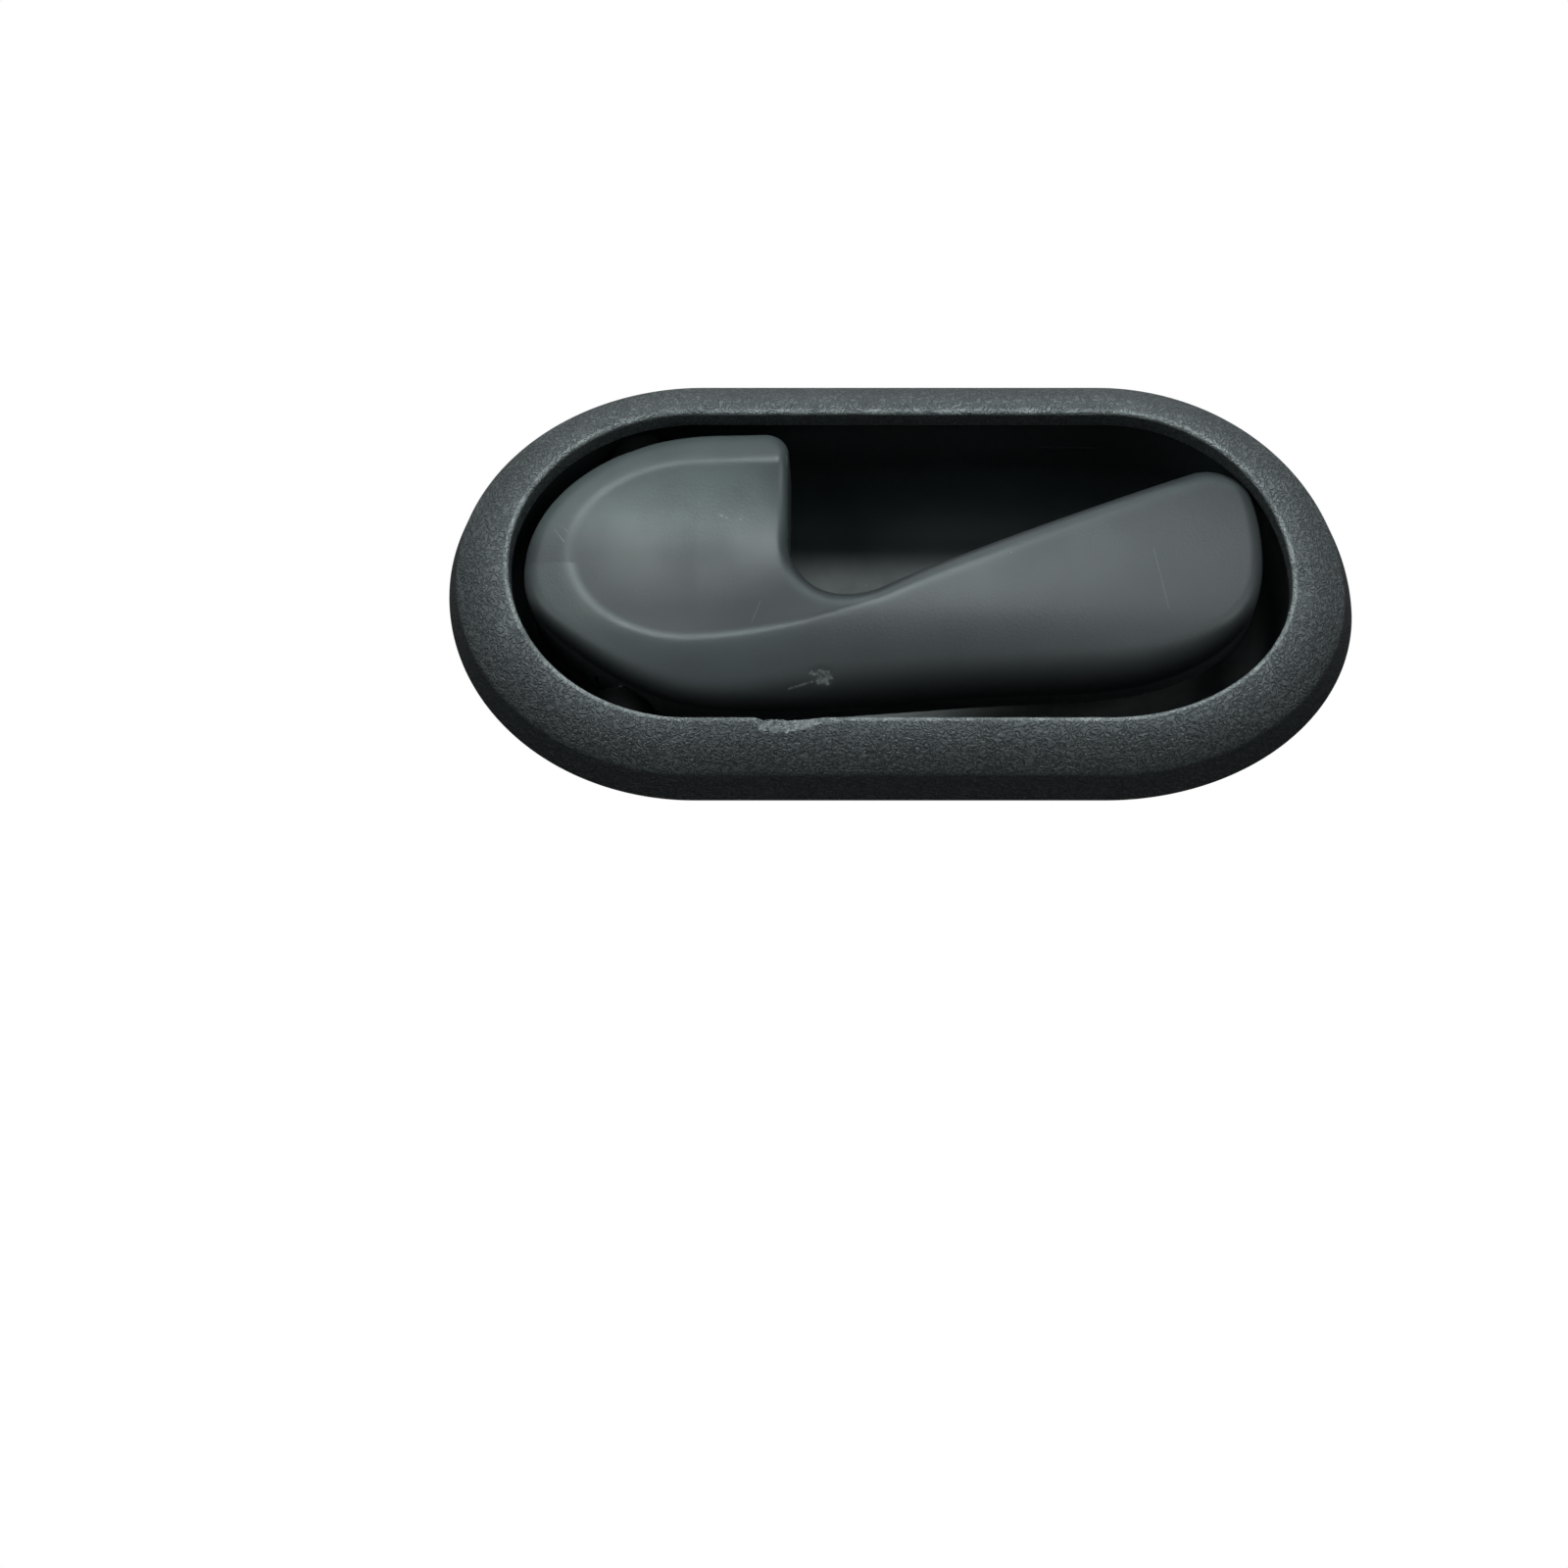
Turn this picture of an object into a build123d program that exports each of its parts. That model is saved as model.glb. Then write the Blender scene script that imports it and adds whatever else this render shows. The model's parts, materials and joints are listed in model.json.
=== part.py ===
"""Car interior door handle: domed oval bezel, finger cup housing and sprung pull lever.

The handle hangs on a door panel whose face is the plane y = 0. x runs along the handle,
z is up and the cabin is on the -y side. Depths are measured from the panel face towards
the cabin, so a negative depth lies behind the panel. All lengths are millimetres.
"""
import os
from math import cos, hypot, radians, sin, sqrt

from build123d import *

os.makedirs("parts", exist_ok=True)

# Bezel ring
bezel_length = 140.0
bezel_height = 68.0
bezel_depth = 12.2
bezel_run = 39.0          # length of each elliptical end
right_axis = -3.0         # height of the right end's widest point
left_axis = 0.8           # height of the left end's widest point
skirt_depth = 6.6
skirt_draft = 2.0
dome_depth = 10.4         # depth of the dome part way up its face
dome_share = 0.5
flange_end = 10.65        # width of the flange at the two ends
flange_side = 9.2         # and along its top and bottom
end_narrowing = 11.2      # the opening's elliptical ends are shorter by this
rim_length = bezel_length - 2 * flange_end
rim_height = bezel_height - 2 * flange_side
rim_run = bezel_run - end_narrowing
half_opening = rim_length / 2
half_rise = rim_height / 2
rim_land = 0.9            # flat top of the ring beside the opening
rim_round = 0.7
crease_round = 1.4
bezel_wall = 2.2
lip_depth = 8.0           # the inner lip reaches back to this depth
crease_wall = 1.0         # thickness over the hollow at the crease
hollow_share = 0.45       # how far the hollow follows the dome towards the opening

# Housing with finger cup
cup_front = 7.4
cup_floor = -16.0
cup_wall = 1.8
cup_side_gap = 0.8        # cup wall lies this far outside the bezel opening
cup_draft = 2.0           # narrowing of each side from front to floor
cup_scoop = 11.0          # radius between wall and floor

# Clips between bezel and housing
clip_inset = 4.55         # the hooks stand this far inside the straight stretch
clip_spread = half_opening - rim_run - clip_inset
clip_width = 9.0
clip_leg = 1.7
clip_gap = 0.35
ledge_out = 1.5
ledge_depth = 2.2
ledge_front = -0.5
barb_play = 0.15
barb_depth = 3.2
barb_flat = 1.1
barb_nose = 0.4
hook_bite = 1.0           # the hooks root this far into the dome

# Front outline of the lever inside the bezel opening
lobe_end_gap = 2.15
lobe_top_gap = 1.6
lobe_bottom_gap = 2.4
lobe_length = 40.0
lobe_top_run = 28.2       # from the lobe's left end to the start of its flat top
lobe_bottom_run = 33.2    # and to its lowest point
lobe_axis = -0.5
haunch_in = 6.6           # point of the lobe's lower left curve
haunch_up = 10.2
lobe_haunch_inward = 47.0 # inward directions at points of the outline, in degrees
lobe_corner = 4.0
notch_round = 10.5
notch_rise = 12.2         # height over the lobe's bottom where notch and paddle edge would meet
tip_gap = 4.05
tip_axis = 2.6
tip_corner_in = 3.5       # the tip's upper corner before rounding
tip_corner_down = 5.2
tip_round = 6.6
tip_haunch_in = 3.7       # points of the paddle's lower edge, from its tip and from the lobe's bottom
tip_haunch_up = 12.2
tip_haunch_inward = 143.0
belly_end_in = 13.3
belly_end_up = 5.8
belly_end_inward = 110.0
belly_mid_in = 37.3
belly_mid_up = 2.4
belly_mid_inward = 94.0
lobe_left = lobe_end_gap - half_opening
lobe_right = lobe_left + lobe_length
lobe_top = half_rise - lobe_top_gap
lobe_bottom = lobe_bottom_gap - half_rise
lobe_top_x = lobe_left + lobe_top_run
lobe_bottom_x = lobe_left + lobe_bottom_run
lobe_haunch = (lobe_left + haunch_in, lobe_bottom + haunch_up)
tip_right = half_opening - tip_gap
tip_corner = (tip_right - tip_corner_in, half_rise - tip_corner_down)
tip_haunch = (tip_right - tip_haunch_in, lobe_bottom + tip_haunch_up)
belly_end = (tip_right - belly_end_in, lobe_bottom + belly_end_up)
belly_mid = (tip_right - belly_mid_in, lobe_bottom + belly_mid_up)

# Lever's front face, back and ribs
crest_rise = 14.4         # height of the front's crest line over the lobe's bottom
crest_depth = 15.0
upper_crown = 95.0
lower_crown = 30.0
length_bow = 520.0
lever_round = 3.4
lever_shell = 2.6
lever_skin = 3.2          # front skin of the paddle
ceiling_drop = 8.6        # the hollow under the thumb dish ends this far behind the crest
lobe_back = -2.4
paddle_back = 3.4
paddle_step = 6.4         # the shallow paddle begins this far past the lobe
rib = 1.6
rib_pitch = 16.0
last_rib_in = 17.3
crest_height = lobe_bottom + crest_rise
lobe_ceiling = crest_depth - ceiling_drop
paddle_from = lobe_right + paddle_step
paddle_ribs = [tip_right - last_rib_in - step * rib_pitch for step in range(3)]

# Return spring
wire_radius = 0.6
coil_radius = 3.4
coil_turns = 4.0
coil_pitch = 1.5
spring_leg = 10.0
spring_front_leg = 3.6

# Pivot: pin, lever's barrel over the spring and its ear below
pivot_inset = 15.2
pivot_depth = 2.0
pin_radius = 2.0
pin_running = 0.05
pin_seat = 0.02
pin_head_radius = 3.4
pin_head = 1.5
pin_tail = 1.8
pin_shake = 0.05          # end play under the head
groove_depth = 0.5
groove_width = 0.9
clip_radius = 3.6
clip_thick = 0.8
clip_mouth = 2.4
clip_play = 0.02
boss_radius = 4.1
boss_proud = 1.6          # the bosses stand this far above and below the opening
boss_room = 0.6           # play of the lever's pocket round each boss
barrel_play = 0.4
barrel_drop = 4.6         # the barrel ends this far under the lobe's top
ear_rise = 4.8
ear_thick = 2.0
coil_room = 1.0           # from ear and barrel to the nearest wire's centre
pivot_x = lobe_left + pivot_inset
boss_half = half_rise + boss_proud
barrel_top = lobe_top - barrel_drop
ear_bottom = lobe_bottom + ear_rise
ear_top = ear_bottom + ear_thick
coil_bottom = ear_top + coil_room
coil_top = coil_bottom + coil_turns * coil_pitch
barrel_bottom = coil_top + coil_room

# Thumb dish, open towards the notch
dish_top_drop = 5.4
dish_left_in = 6.6
dish_axis = -1.0
dish_top_run = 30.2
dish_bottom_run = 23.2
dish_bottom_rise = 11.4
dish_end_run = 14.2
dish_end_rise = 19.6
dish_sink = 4.0           # the floor lies this far behind the crest
dish_clear = 0.5          # its mouth is drawn this far in front of the crest
dish_spread = 6.6         # at the mouth its walls lean out by this much
dish_spread_end = 7.2
dish_inset = 3.6          # and lean in by this much at the floor
dish_run_out = 13.0
dish_tilt = -9.4          # the floor is deeper at the top
dish_floor_round = 4.0
dish_top = lobe_top - dish_top_drop
dish_left = lobe_left + dish_left_in
dish_top_x = lobe_left + dish_top_run
dish_bottom_x = lobe_left + dish_bottom_run
dish_bottom = lobe_bottom + dish_bottom_rise
dish_end = (lobe_right + dish_end_run, lobe_bottom + dish_end_rise)
dish_floor = crest_depth - dish_sink

# Cable arm and bracket
arm_level = 7.0
arm_thick = 3.2
arm_width = 8.0
arm_end = -22.0
arm_room = 1.2            # play of the arm in its slot
nipple_radius = 2.6
nipple_slot = 1.8
bracket_out = 7.8
bracket_thick = 2.6
bracket_half = 6.5
bracket_front = -8.0
ferrule_radius = 3.1
bracket_x = lobe_left - bracket_out

# Pull lever's travel
lever_travel = 40.0

# Rest buffer
buffer_out = 15.0
buffer_rise = 11.4
buffer_radius = 3.2
buffer_head = 3.0
buffer_round = 0.75
buffer_stem = 1.8
buffer_stem_length = 4.0
buffer_fit = 0.02
post_front = -7.0
post_radius = 4.4
stop_gap = 0.3
buffer_x = pivot_x + buffer_out
buffer_z = lobe_bottom + buffer_rise

# Fixing screw
screw_in = 13.3
screw_z = 1.0
screw_radius = 2.75
screw_head_radius = 5.6
screw_seat = 1.4
screw_boss_radius = 6.6
screw_boss = 5.0
back_rib_height = 3.0
screw_x = tip_right - screw_in

through = 80.0            # reach of cuts that pass right through


def oval(length, height, run):
    """Oval with elliptical ends whose widest points sit at the two end axes."""
    half = length / 2
    rise = height / 2
    right = (half - run, right_axis)
    left = (run - half, left_axis)
    with BuildSketch() as shape:
        with BuildLine():
            EllipticalCenterArc(right, run, rise - right_axis, 0, arc_size=90)
            Line((half - run, rise), (run - half, rise))
            EllipticalCenterArc(left, run, rise - left_axis, 90, arc_size=90)
            EllipticalCenterArc(left, run, rise + left_axis, 180, arc_size=90)
            Line((run - half, -rise), (half - run, -rise))
            EllipticalCenterArc(right, run, rise + right_axis, 270, arc_size=90)
        make_face()
    return shape.sketch


def bezel_oval(inset):
    """Bezel outline drawn in by an even inset."""
    return oval(bezel_length - 2 * inset, bezel_height - 2 * inset, bezel_run - inset)


def rim_oval(outset):
    """Bezel opening grown by an even outset."""
    return oval(rim_length + 2 * outset, rim_height + 2 * outset, rim_run + outset)


def blend_oval(share, inset):
    """Outline part way between the bezel's crease and its opening."""
    length = bezel_length - 2 * skirt_draft
    height = bezel_height - 2 * skirt_draft
    run = bezel_run - skirt_draft
    return oval(
        length + share * (rim_length + 2 * rim_land - length) - 2 * inset,
        height + share * (rim_height + 2 * rim_land - height) - 2 * inset,
        run + share * (rim_run + rim_land - run) - inset,
    )


def wall_at(depth):
    """Outset of the cup's inner wall from the bezel opening at a depth."""
    share = (cup_front - depth) / (cup_front - cup_floor)
    return cup_side_gap - cup_draft * share


def depth_plane(depth):
    """Sketch plane parallel to the door panel."""
    return Plane.XZ.offset(depth)


# Bezel: drafted skirt, domed face, hollow back and four snap hooks
hollow_crease = skirt_depth - crease_wall
hook_in = rim_height / 2 + wall_at(ledge_front) + cup_wall + ledge_out + clip_gap
hook_out = hook_in + clip_leg
hook_root = skirt_depth + hook_bite
catch_back = ledge_front - ledge_depth
barb_front = catch_back - barb_play
barb_back = barb_front - barb_depth
barb_in = hook_in - ledge_out

with BuildPart() as bezel:
    with BuildSketch(depth_plane(0)):
        add(bezel_oval(0))
    with BuildSketch(depth_plane(skirt_depth)):
        add(bezel_oval(skirt_draft))
    loft()
    with BuildSketch(depth_plane(skirt_depth)):
        add(blend_oval(0, 0))
    with BuildSketch(depth_plane(dome_depth)):
        add(blend_oval(dome_share, 0))
    with BuildSketch(depth_plane(bezel_depth)):
        add(blend_oval(1, 0))
    loft()
    crease = bezel.edges().filter_by_position(Axis.Y, -skirt_depth, -skirt_depth)
    fillet(crease, crease_round)
    with BuildSketch(depth_plane(0)):
        add(bezel_oval(bezel_wall))
    with BuildSketch(depth_plane(hollow_crease)):
        add(bezel_oval(skirt_draft + bezel_wall))
    loft(mode=Mode.SUBTRACT)
    with BuildSketch(depth_plane(hollow_crease)):
        add(bezel_oval(skirt_draft + bezel_wall))
    with BuildSketch(depth_plane(lip_depth)):
        add(blend_oval(hollow_share, bezel_wall))
    loft(mode=Mode.SUBTRACT)
    with BuildSketch(depth_plane(bezel_depth)):
        add(rim_oval(0))
    extrude(amount=-bezel_depth, mode=Mode.SUBTRACT)
    front = bezel.faces().filter_by(Axis.Y).sort_by(Axis.Y)[0]
    fillet(front.edges(), rim_round)
    with BuildSketch(Plane.YZ.offset(clip_spread)):
        with BuildLine():
            Polyline(
                (-hook_root, hook_in),
                (-barb_front, hook_in),
                (-barb_front, barb_in),
                (-barb_front + barb_flat, barb_in),
                (-barb_back, hook_in + barb_nose),
                (-barb_back, hook_out),
                (-hook_root, hook_out),
                close=True,
            )
        make_face()
    right_hook = extrude(amount=clip_width / 2, both=True)
    left_hook = mirror(right_hook, about=Plane.YZ)
    mirror(right_hook, about=Plane.XY)
    mirror(left_hook, about=Plane.XY)

bezel.part.label = "bezel"
export_step(bezel.part, "parts/bezel.step")


# Hollow of the finger cup
with BuildPart() as cup_core:
    with BuildSketch(depth_plane(cup_front)):
        add(rim_oval(wall_at(cup_front)))
    with BuildSketch(depth_plane(cup_floor)):
        add(rim_oval(wall_at(cup_floor)))
    loft()
    floor_face = cup_core.faces().sort_by(Axis.Y)[-1]
    fillet(floor_face.edges(), cup_scoop)

# Housing: finger cup, pivot bosses, arm slot, cable bracket and screw boss
ledge_top = hook_in - clip_gap
floor_back = cup_floor - cup_wall
spring_stop_x = pivot_x + coil_radius + wire_radius + stop_gap
spring_rib_top = coil_bottom + 2 * coil_pitch
bracket_back = arm_end - bracket_half
gusset_back = cup_floor + cup_wall
gusset_end = lobe_left - cup_wall
slot_left = pivot_x - arm_width / 2 - arm_room
slot_reach = (pivot_depth - floor_back) * sin(radians(lever_travel)) / cos(radians(lever_travel))
slot_right = pivot_x + slot_reach + arm_width / 2 / cos(radians(lever_travel)) + arm_room

with BuildPart() as housing:
    with BuildSketch(depth_plane(cup_front)):
        add(rim_oval(wall_at(cup_front) + cup_wall))
    with BuildSketch(depth_plane(floor_back)):
        add(rim_oval(wall_at(cup_floor) + cup_wall))
    loft()
    back_face = housing.faces().sort_by(Axis.Y)[-1]
    fillet(back_face.edges(), cup_scoop + cup_wall)
    with BuildSketch(Plane.XY.offset(-boss_half)):
        with Locations((pivot_x, -pivot_depth)):
            Circle(boss_radius)
    extrude(amount=2 * boss_half)
    add(cup_core.part, mode=Mode.SUBTRACT)
    # inner ends of the bosses that carry the pin
    upper_boss = (barrel_top + barrel_play, boss_half)
    lower_boss = (-boss_half, ear_bottom - barrel_play)
    for start, end in (upper_boss, lower_boss):
        with BuildSketch(Plane.XY.offset(start)):
            with Locations((pivot_x, -pivot_depth)):
                Circle(boss_radius)
        extrude(amount=end - start)
    # post for the rest buffer
    with BuildSketch(depth_plane(floor_back)):
        with Locations((buffer_x, buffer_z)):
            Circle(post_radius)
    extrude(amount=post_front - floor_back)
    with BuildSketch(depth_plane(post_front)):
        with Locations((buffer_x, buffer_z)):
            Circle(buffer_stem + buffer_fit)
    extrude(amount=-buffer_stem_length, mode=Mode.SUBTRACT)
    # rib that takes the spring's back leg
    with BuildSketch(depth_plane(floor_back)):
        with Locations((spring_stop_x + rib / 2, coil_bottom)):
            Rectangle(rib, 2 * (spring_rib_top - coil_bottom))
    extrude(amount=post_front - floor_back)
    # slot for the lever's arm
    with BuildSketch(depth_plane(post_front)):
        with Locations(((slot_left + slot_right) / 2, arm_level)):
            Rectangle(slot_right - slot_left, arm_thick + 2 * arm_room)
    extrude(amount=-through, mode=Mode.SUBTRACT)
    # catches for the bezel's hooks
    with BuildSketch(Plane.XY.offset(rim_height / 2)):
        with GridLocations(2 * clip_spread, 1, 2, 1):
            with Locations((0, -ledge_front + ledge_depth / 2)):
                Rectangle(clip_width, ledge_depth)
    top_catches = extrude(amount=ledge_top - rim_height / 2)
    mirror(top_catches, about=Plane.XY)
    # cable bracket on the left end
    with BuildSketch(Plane.YZ.offset(bracket_x)):
        with Locations((-(bracket_back + bracket_front) / 2, arm_level)):
            Rectangle(bracket_front - bracket_back, 2 * bracket_half)
        with Locations((-arm_end, arm_level)):
            Circle(ferrule_radius, mode=Mode.SUBTRACT)
        with Locations((-(arm_end + bracket_back) / 2, arm_level)):
            Rectangle(arm_end - bracket_back, 2 * nipple_radius, mode=Mode.SUBTRACT)
    extrude(amount=bracket_thick)
    for side in (-1, 1):
        with BuildSketch(Plane.XY.offset(arm_level + side * (bracket_half - rib / 2))):
            with Locations(((bracket_x + gusset_end) / 2, -(bracket_front + gusset_back) / 2)):
                Rectangle(gusset_end - bracket_x, bracket_front - gusset_back)
        extrude(amount=rib / 2, both=True)
    # screw boss behind the cup floor, with a seat for the screw's head
    with BuildSketch(depth_plane(floor_back)):
        with Locations((screw_x, screw_z)):
            Circle(screw_boss_radius)
    extrude(amount=-screw_boss)
    with BuildSketch(depth_plane(cup_floor)):
        with Locations((screw_x, screw_z)):
            Circle(screw_head_radius)
    extrude(amount=-screw_seat, mode=Mode.SUBTRACT)
    with BuildSketch(depth_plane(cup_floor)):
        with Locations((screw_x, screw_z)):
            Circle(screw_radius)
    extrude(amount=-through, mode=Mode.SUBTRACT)
    # stiffening ribs behind the floor
    with BuildSketch(depth_plane(floor_back)):
        with Locations(((slot_right + screw_x) / 2, screw_z)):
            with GridLocations(1, 2 * screw_boss_radius - 2 * rib, 1, 2):
                Rectangle(screw_x - slot_right, rib)
    extrude(amount=-back_rib_height)
    # pin bores
    with BuildSketch(Plane.XY.offset(-boss_half)):
        with Locations((pivot_x, -pivot_depth)):
            Circle(pin_radius + pin_seat)
    extrude(amount=2 * boss_half, mode=Mode.SUBTRACT)

housing.part.label = "housing"
export_step(housing.part, "parts/housing.step")


def sag(radius, reach):
    """How far a circle has fallen away at a reach from its crest."""
    return radius - sqrt(radius**2 - reach**2)


def crown_profile(lowering):
    """Side profile of the lever's front face, set back by a lowering."""
    crest = lowering - crest_depth
    back = -lobe_back + lever_shell
    top = lobe_top + lever_shell
    low = lobe_bottom - lever_shell
    mid = (crest_height + low) / 2
    top_y = crest + sag(upper_crown, top - crest_height)
    mid_y = crest + sag(lower_crown, crest_height - mid)
    low_y = crest + sag(lower_crown, crest_height - low)
    with BuildSketch() as shape:
        with BuildLine():
            Spline((top_y, top), (crest, crest_height), (mid_y, mid), (low_y, low))
            Polyline((low_y, low), (back, low), (back, top), (top_y, top))
        make_face()
    return shape.sketch


def drawn_in(point, inward, inset):
    """Point of an outline moved inwards by an inset."""
    return (point[0] + inset * cos(radians(inward)), point[1] + inset * sin(radians(inward)))


def lever_outline(inset):
    """Front outline of the lever, drawn in by an inset."""
    left = lobe_left + inset
    right = lobe_right - inset
    top = lobe_top - inset
    low = (lobe_bottom_x, lobe_bottom + inset)
    tip = (tip_right - inset, tip_axis)
    slope = (tip_corner[1] - lobe_bottom - notch_rise) / (tip_corner[0] - lobe_right)
    corner = (tip_corner[0] - inset, tip_corner[1] - inset * (slope + hypot(1, slope)))
    foot = (right, corner[1] - (corner[0] - right) * slope)
    with BuildSketch() as shape:
        with BuildLine():
            EllipticalCenterArc(
                (lobe_top_x, lobe_axis),
                lobe_top_x - left,
                top - lobe_axis,
                90,
                arc_size=90,
            )
            Spline(
                (left, lobe_axis),
                drawn_in(lobe_haunch, lobe_haunch_inward, inset),
                low,
                tangents=((0, -1), (1, 0)),
            )
            Spline(
                low,
                drawn_in(belly_mid, belly_mid_inward, inset),
                drawn_in(belly_end, belly_end_inward, inset),
                drawn_in(tip_haunch, tip_haunch_inward, inset),
                tip,
                tangents=((1, 0), (0, 1)),
            )
            TangentArc(tip, corner, tangent=(0, 1))
            Line(corner, foot)
            Line(foot, (right, top))
            Line((right, top), (lobe_top_x, top))
        make_face()
        fillet(shape.vertices().sort_by_distance(foot)[0], notch_round + inset)
        fillet(shape.vertices().sort_by_distance(corner)[0], tip_round - inset)
        fillet(shape.vertices().sort_by_distance((right, top))[0], lobe_corner - inset)
    return shape.sketch


def dish_outline(inset, run_out):
    """Outline of the thumb dish, drawn in by an inset and stopped short at its open end."""
    end_x = dish_end[0] - run_out
    span = dish_end[0] - dish_bottom_x
    climb = (dish_end[1] - dish_bottom) * ((end_x - dish_bottom_x) / span) ** 2
    low = dish_bottom + inset
    with BuildSketch() as shape:
        with BuildLine():
            Line((end_x, dish_top - inset), (dish_top_x, dish_top - inset))
            EllipticalCenterArc(
                (dish_top_x, dish_axis),
                dish_top_x - dish_left - inset,
                dish_top - dish_axis - inset,
                90,
                arc_size=90,
            )
            EllipticalCenterArc(
                (dish_bottom_x, dish_axis),
                dish_bottom_x - dish_left - inset,
                dish_axis - low,
                180,
                arc_size=90,
            )
            TangentArc((dish_bottom_x, low), (end_x, low + climb), tangent=(1, 0))
            Line((end_x, low + climb), (end_x, dish_top - inset))
        make_face()
    return shape.sketch


bow_axis = Axis((0, length_bow - crest_depth, 0), (0, 0, 1))

# Body of the lever's front face, curved along and across
with BuildPart() as crown:
    with BuildSketch(Plane.YZ):
        add(crown_profile(0))
    revolve(axis=bow_axis)

# Thumb dish, deeper at its top
with BuildPart() as dish:
    with BuildSketch(depth_plane(crest_depth + dish_clear)):
        add(dish_outline(-dish_spread, -dish_spread_end))
    with BuildSketch(depth_plane(dish_floor).rotated((dish_tilt, 0, 0))):
        add(dish_outline(dish_inset, dish_run_out))
    loft()
    dish_bed = dish.faces().sort_by(Axis.Y)[-1]
    fillet(dish_bed.edges(), dish_floor_round)

# Hollow of the lever: a flat one under the dish and a curved one in the paddle, with ribs left
stop_depth = post_front + buffer_head + stop_gap

with BuildPart() as inner_crown:
    with BuildSketch(Plane.YZ):
        add(crown_profile(lever_skin))
    revolve(axis=bow_axis)

with BuildPart() as paddle_hollow:
    with BuildSketch(depth_plane(lobe_back - rib)):
        add(lever_outline(lever_shell))
        with Locations((paddle_from - through, 0)):
            Rectangle(2 * through, 2 * through, mode=Mode.SUBTRACT)
        with Locations(*[(x, 0) for x in paddle_ribs]):
            Rectangle(rib, through, mode=Mode.SUBTRACT)
    extrude(amount=crest_depth - lobe_back + rib)
    add(inner_crown.part, mode=Mode.INTERSECT)

with BuildPart() as lobe_hollow:
    with BuildSketch(depth_plane(lobe_back - rib)):
        add(lever_outline(lever_shell))
        with Locations((paddle_from - rib + through, 0)):
            Rectangle(2 * through, 2 * through, mode=Mode.SUBTRACT)
        with Locations((spring_stop_x + rib / 2, 0), (buffer_x, 0)):
            Rectangle(rib, through, mode=Mode.SUBTRACT)
    extrude(amount=lobe_ceiling - lobe_back + rib)

# Barrel and ear on the pivot axis, each with a web to the front skin, inside the lever's outline
with BuildPart() as pivot_webs:
    for low, high in ((barrel_bottom, barrel_top), (ear_bottom, ear_top)):
        with BuildSketch(Plane.XY.offset(low)):
            with Locations((pivot_x, -pivot_depth)):
                Circle(boss_radius)
            with Locations((pivot_x, -(pivot_depth + lobe_ceiling + rib / 2) / 2)):
                Rectangle(2 * boss_radius, lobe_ceiling + rib / 2 - pivot_depth)
        extrude(amount=high - low)
    with BuildSketch(depth_plane(-through)):
        add(lever_outline(lever_shell / 2))
    extrude(amount=2 * through, mode=Mode.INTERSECT)

# Lever: sculpted shell with pivot barrel, lower ear, cable arm and rest stop
with BuildPart() as lever:
    with BuildSketch(depth_plane(lobe_back)):
        add(lever_outline(0))
    extrude(amount=crest_depth - lobe_back + rib)
    add(crown.part, mode=Mode.INTERSECT)
    front_face = lever.faces().filter_by(GeomType.REVOLUTION).sort_by(SortBy.AREA)[-1]
    fillet(front_face.edges(), lever_round)
    add(dish.part, mode=Mode.SUBTRACT)
    add(paddle_hollow.part, mode=Mode.SUBTRACT)
    add(lobe_hollow.part, mode=Mode.SUBTRACT)
    with BuildSketch(depth_plane(paddle_back)):
        with Locations((paddle_from + through / 2, 0)):
            Rectangle(through, through)
    extrude(amount=-through, mode=Mode.SUBTRACT)
    # room for the coil between barrel and ear
    with BuildSketch(Plane.XY.offset(ear_top)):
        with Locations((pivot_x, -pivot_depth)):
            Circle(coil_radius + 2 * wire_radius)
    extrude(amount=barrel_bottom - ear_top, mode=Mode.SUBTRACT)
    add(pivot_webs.part)
    # rest stop that meets the rubber buffer
    with BuildSketch(depth_plane(stop_depth)):
        with Locations((buffer_x, buffer_z)):
            Rectangle(rib, 2 * buffer_radius)
    extrude(amount=lobe_ceiling - stop_depth)
    # cable arm with an open eye for the nipple
    with BuildSketch(Plane.XY.offset(arm_level)):
        with Locations((pivot_x, -(pivot_depth + arm_end) / 2)):
            Rectangle(arm_width, pivot_depth - arm_end)
        with Locations((pivot_x, -arm_end)):
            Circle(arm_width / 2)
            Circle(nipple_radius, mode=Mode.SUBTRACT)
        with Locations((pivot_x - arm_width / 2, -arm_end)):
            Rectangle(arm_width, nipple_slot, mode=Mode.SUBTRACT)
    extrude(amount=arm_thick / 2, both=True)
    # room for the housing's bosses at both ends
    for low, high in ((barrel_top, boss_half), (-boss_half, ear_bottom)):
        with BuildSketch(Plane.XY.offset(low)):
            with Locations((pivot_x, -pivot_depth)):
                Circle(boss_radius + boss_room)
        extrude(amount=high - low, mode=Mode.SUBTRACT)
    with BuildSketch(Plane.XY.offset(-boss_half)):
        with Locations((pivot_x, -pivot_depth)):
            Circle(pin_radius + pin_running)
    extrude(amount=2 * boss_half, mode=Mode.SUBTRACT)

lever.part.label = "lever"
export_step(lever.part, "parts/lever.step")

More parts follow.
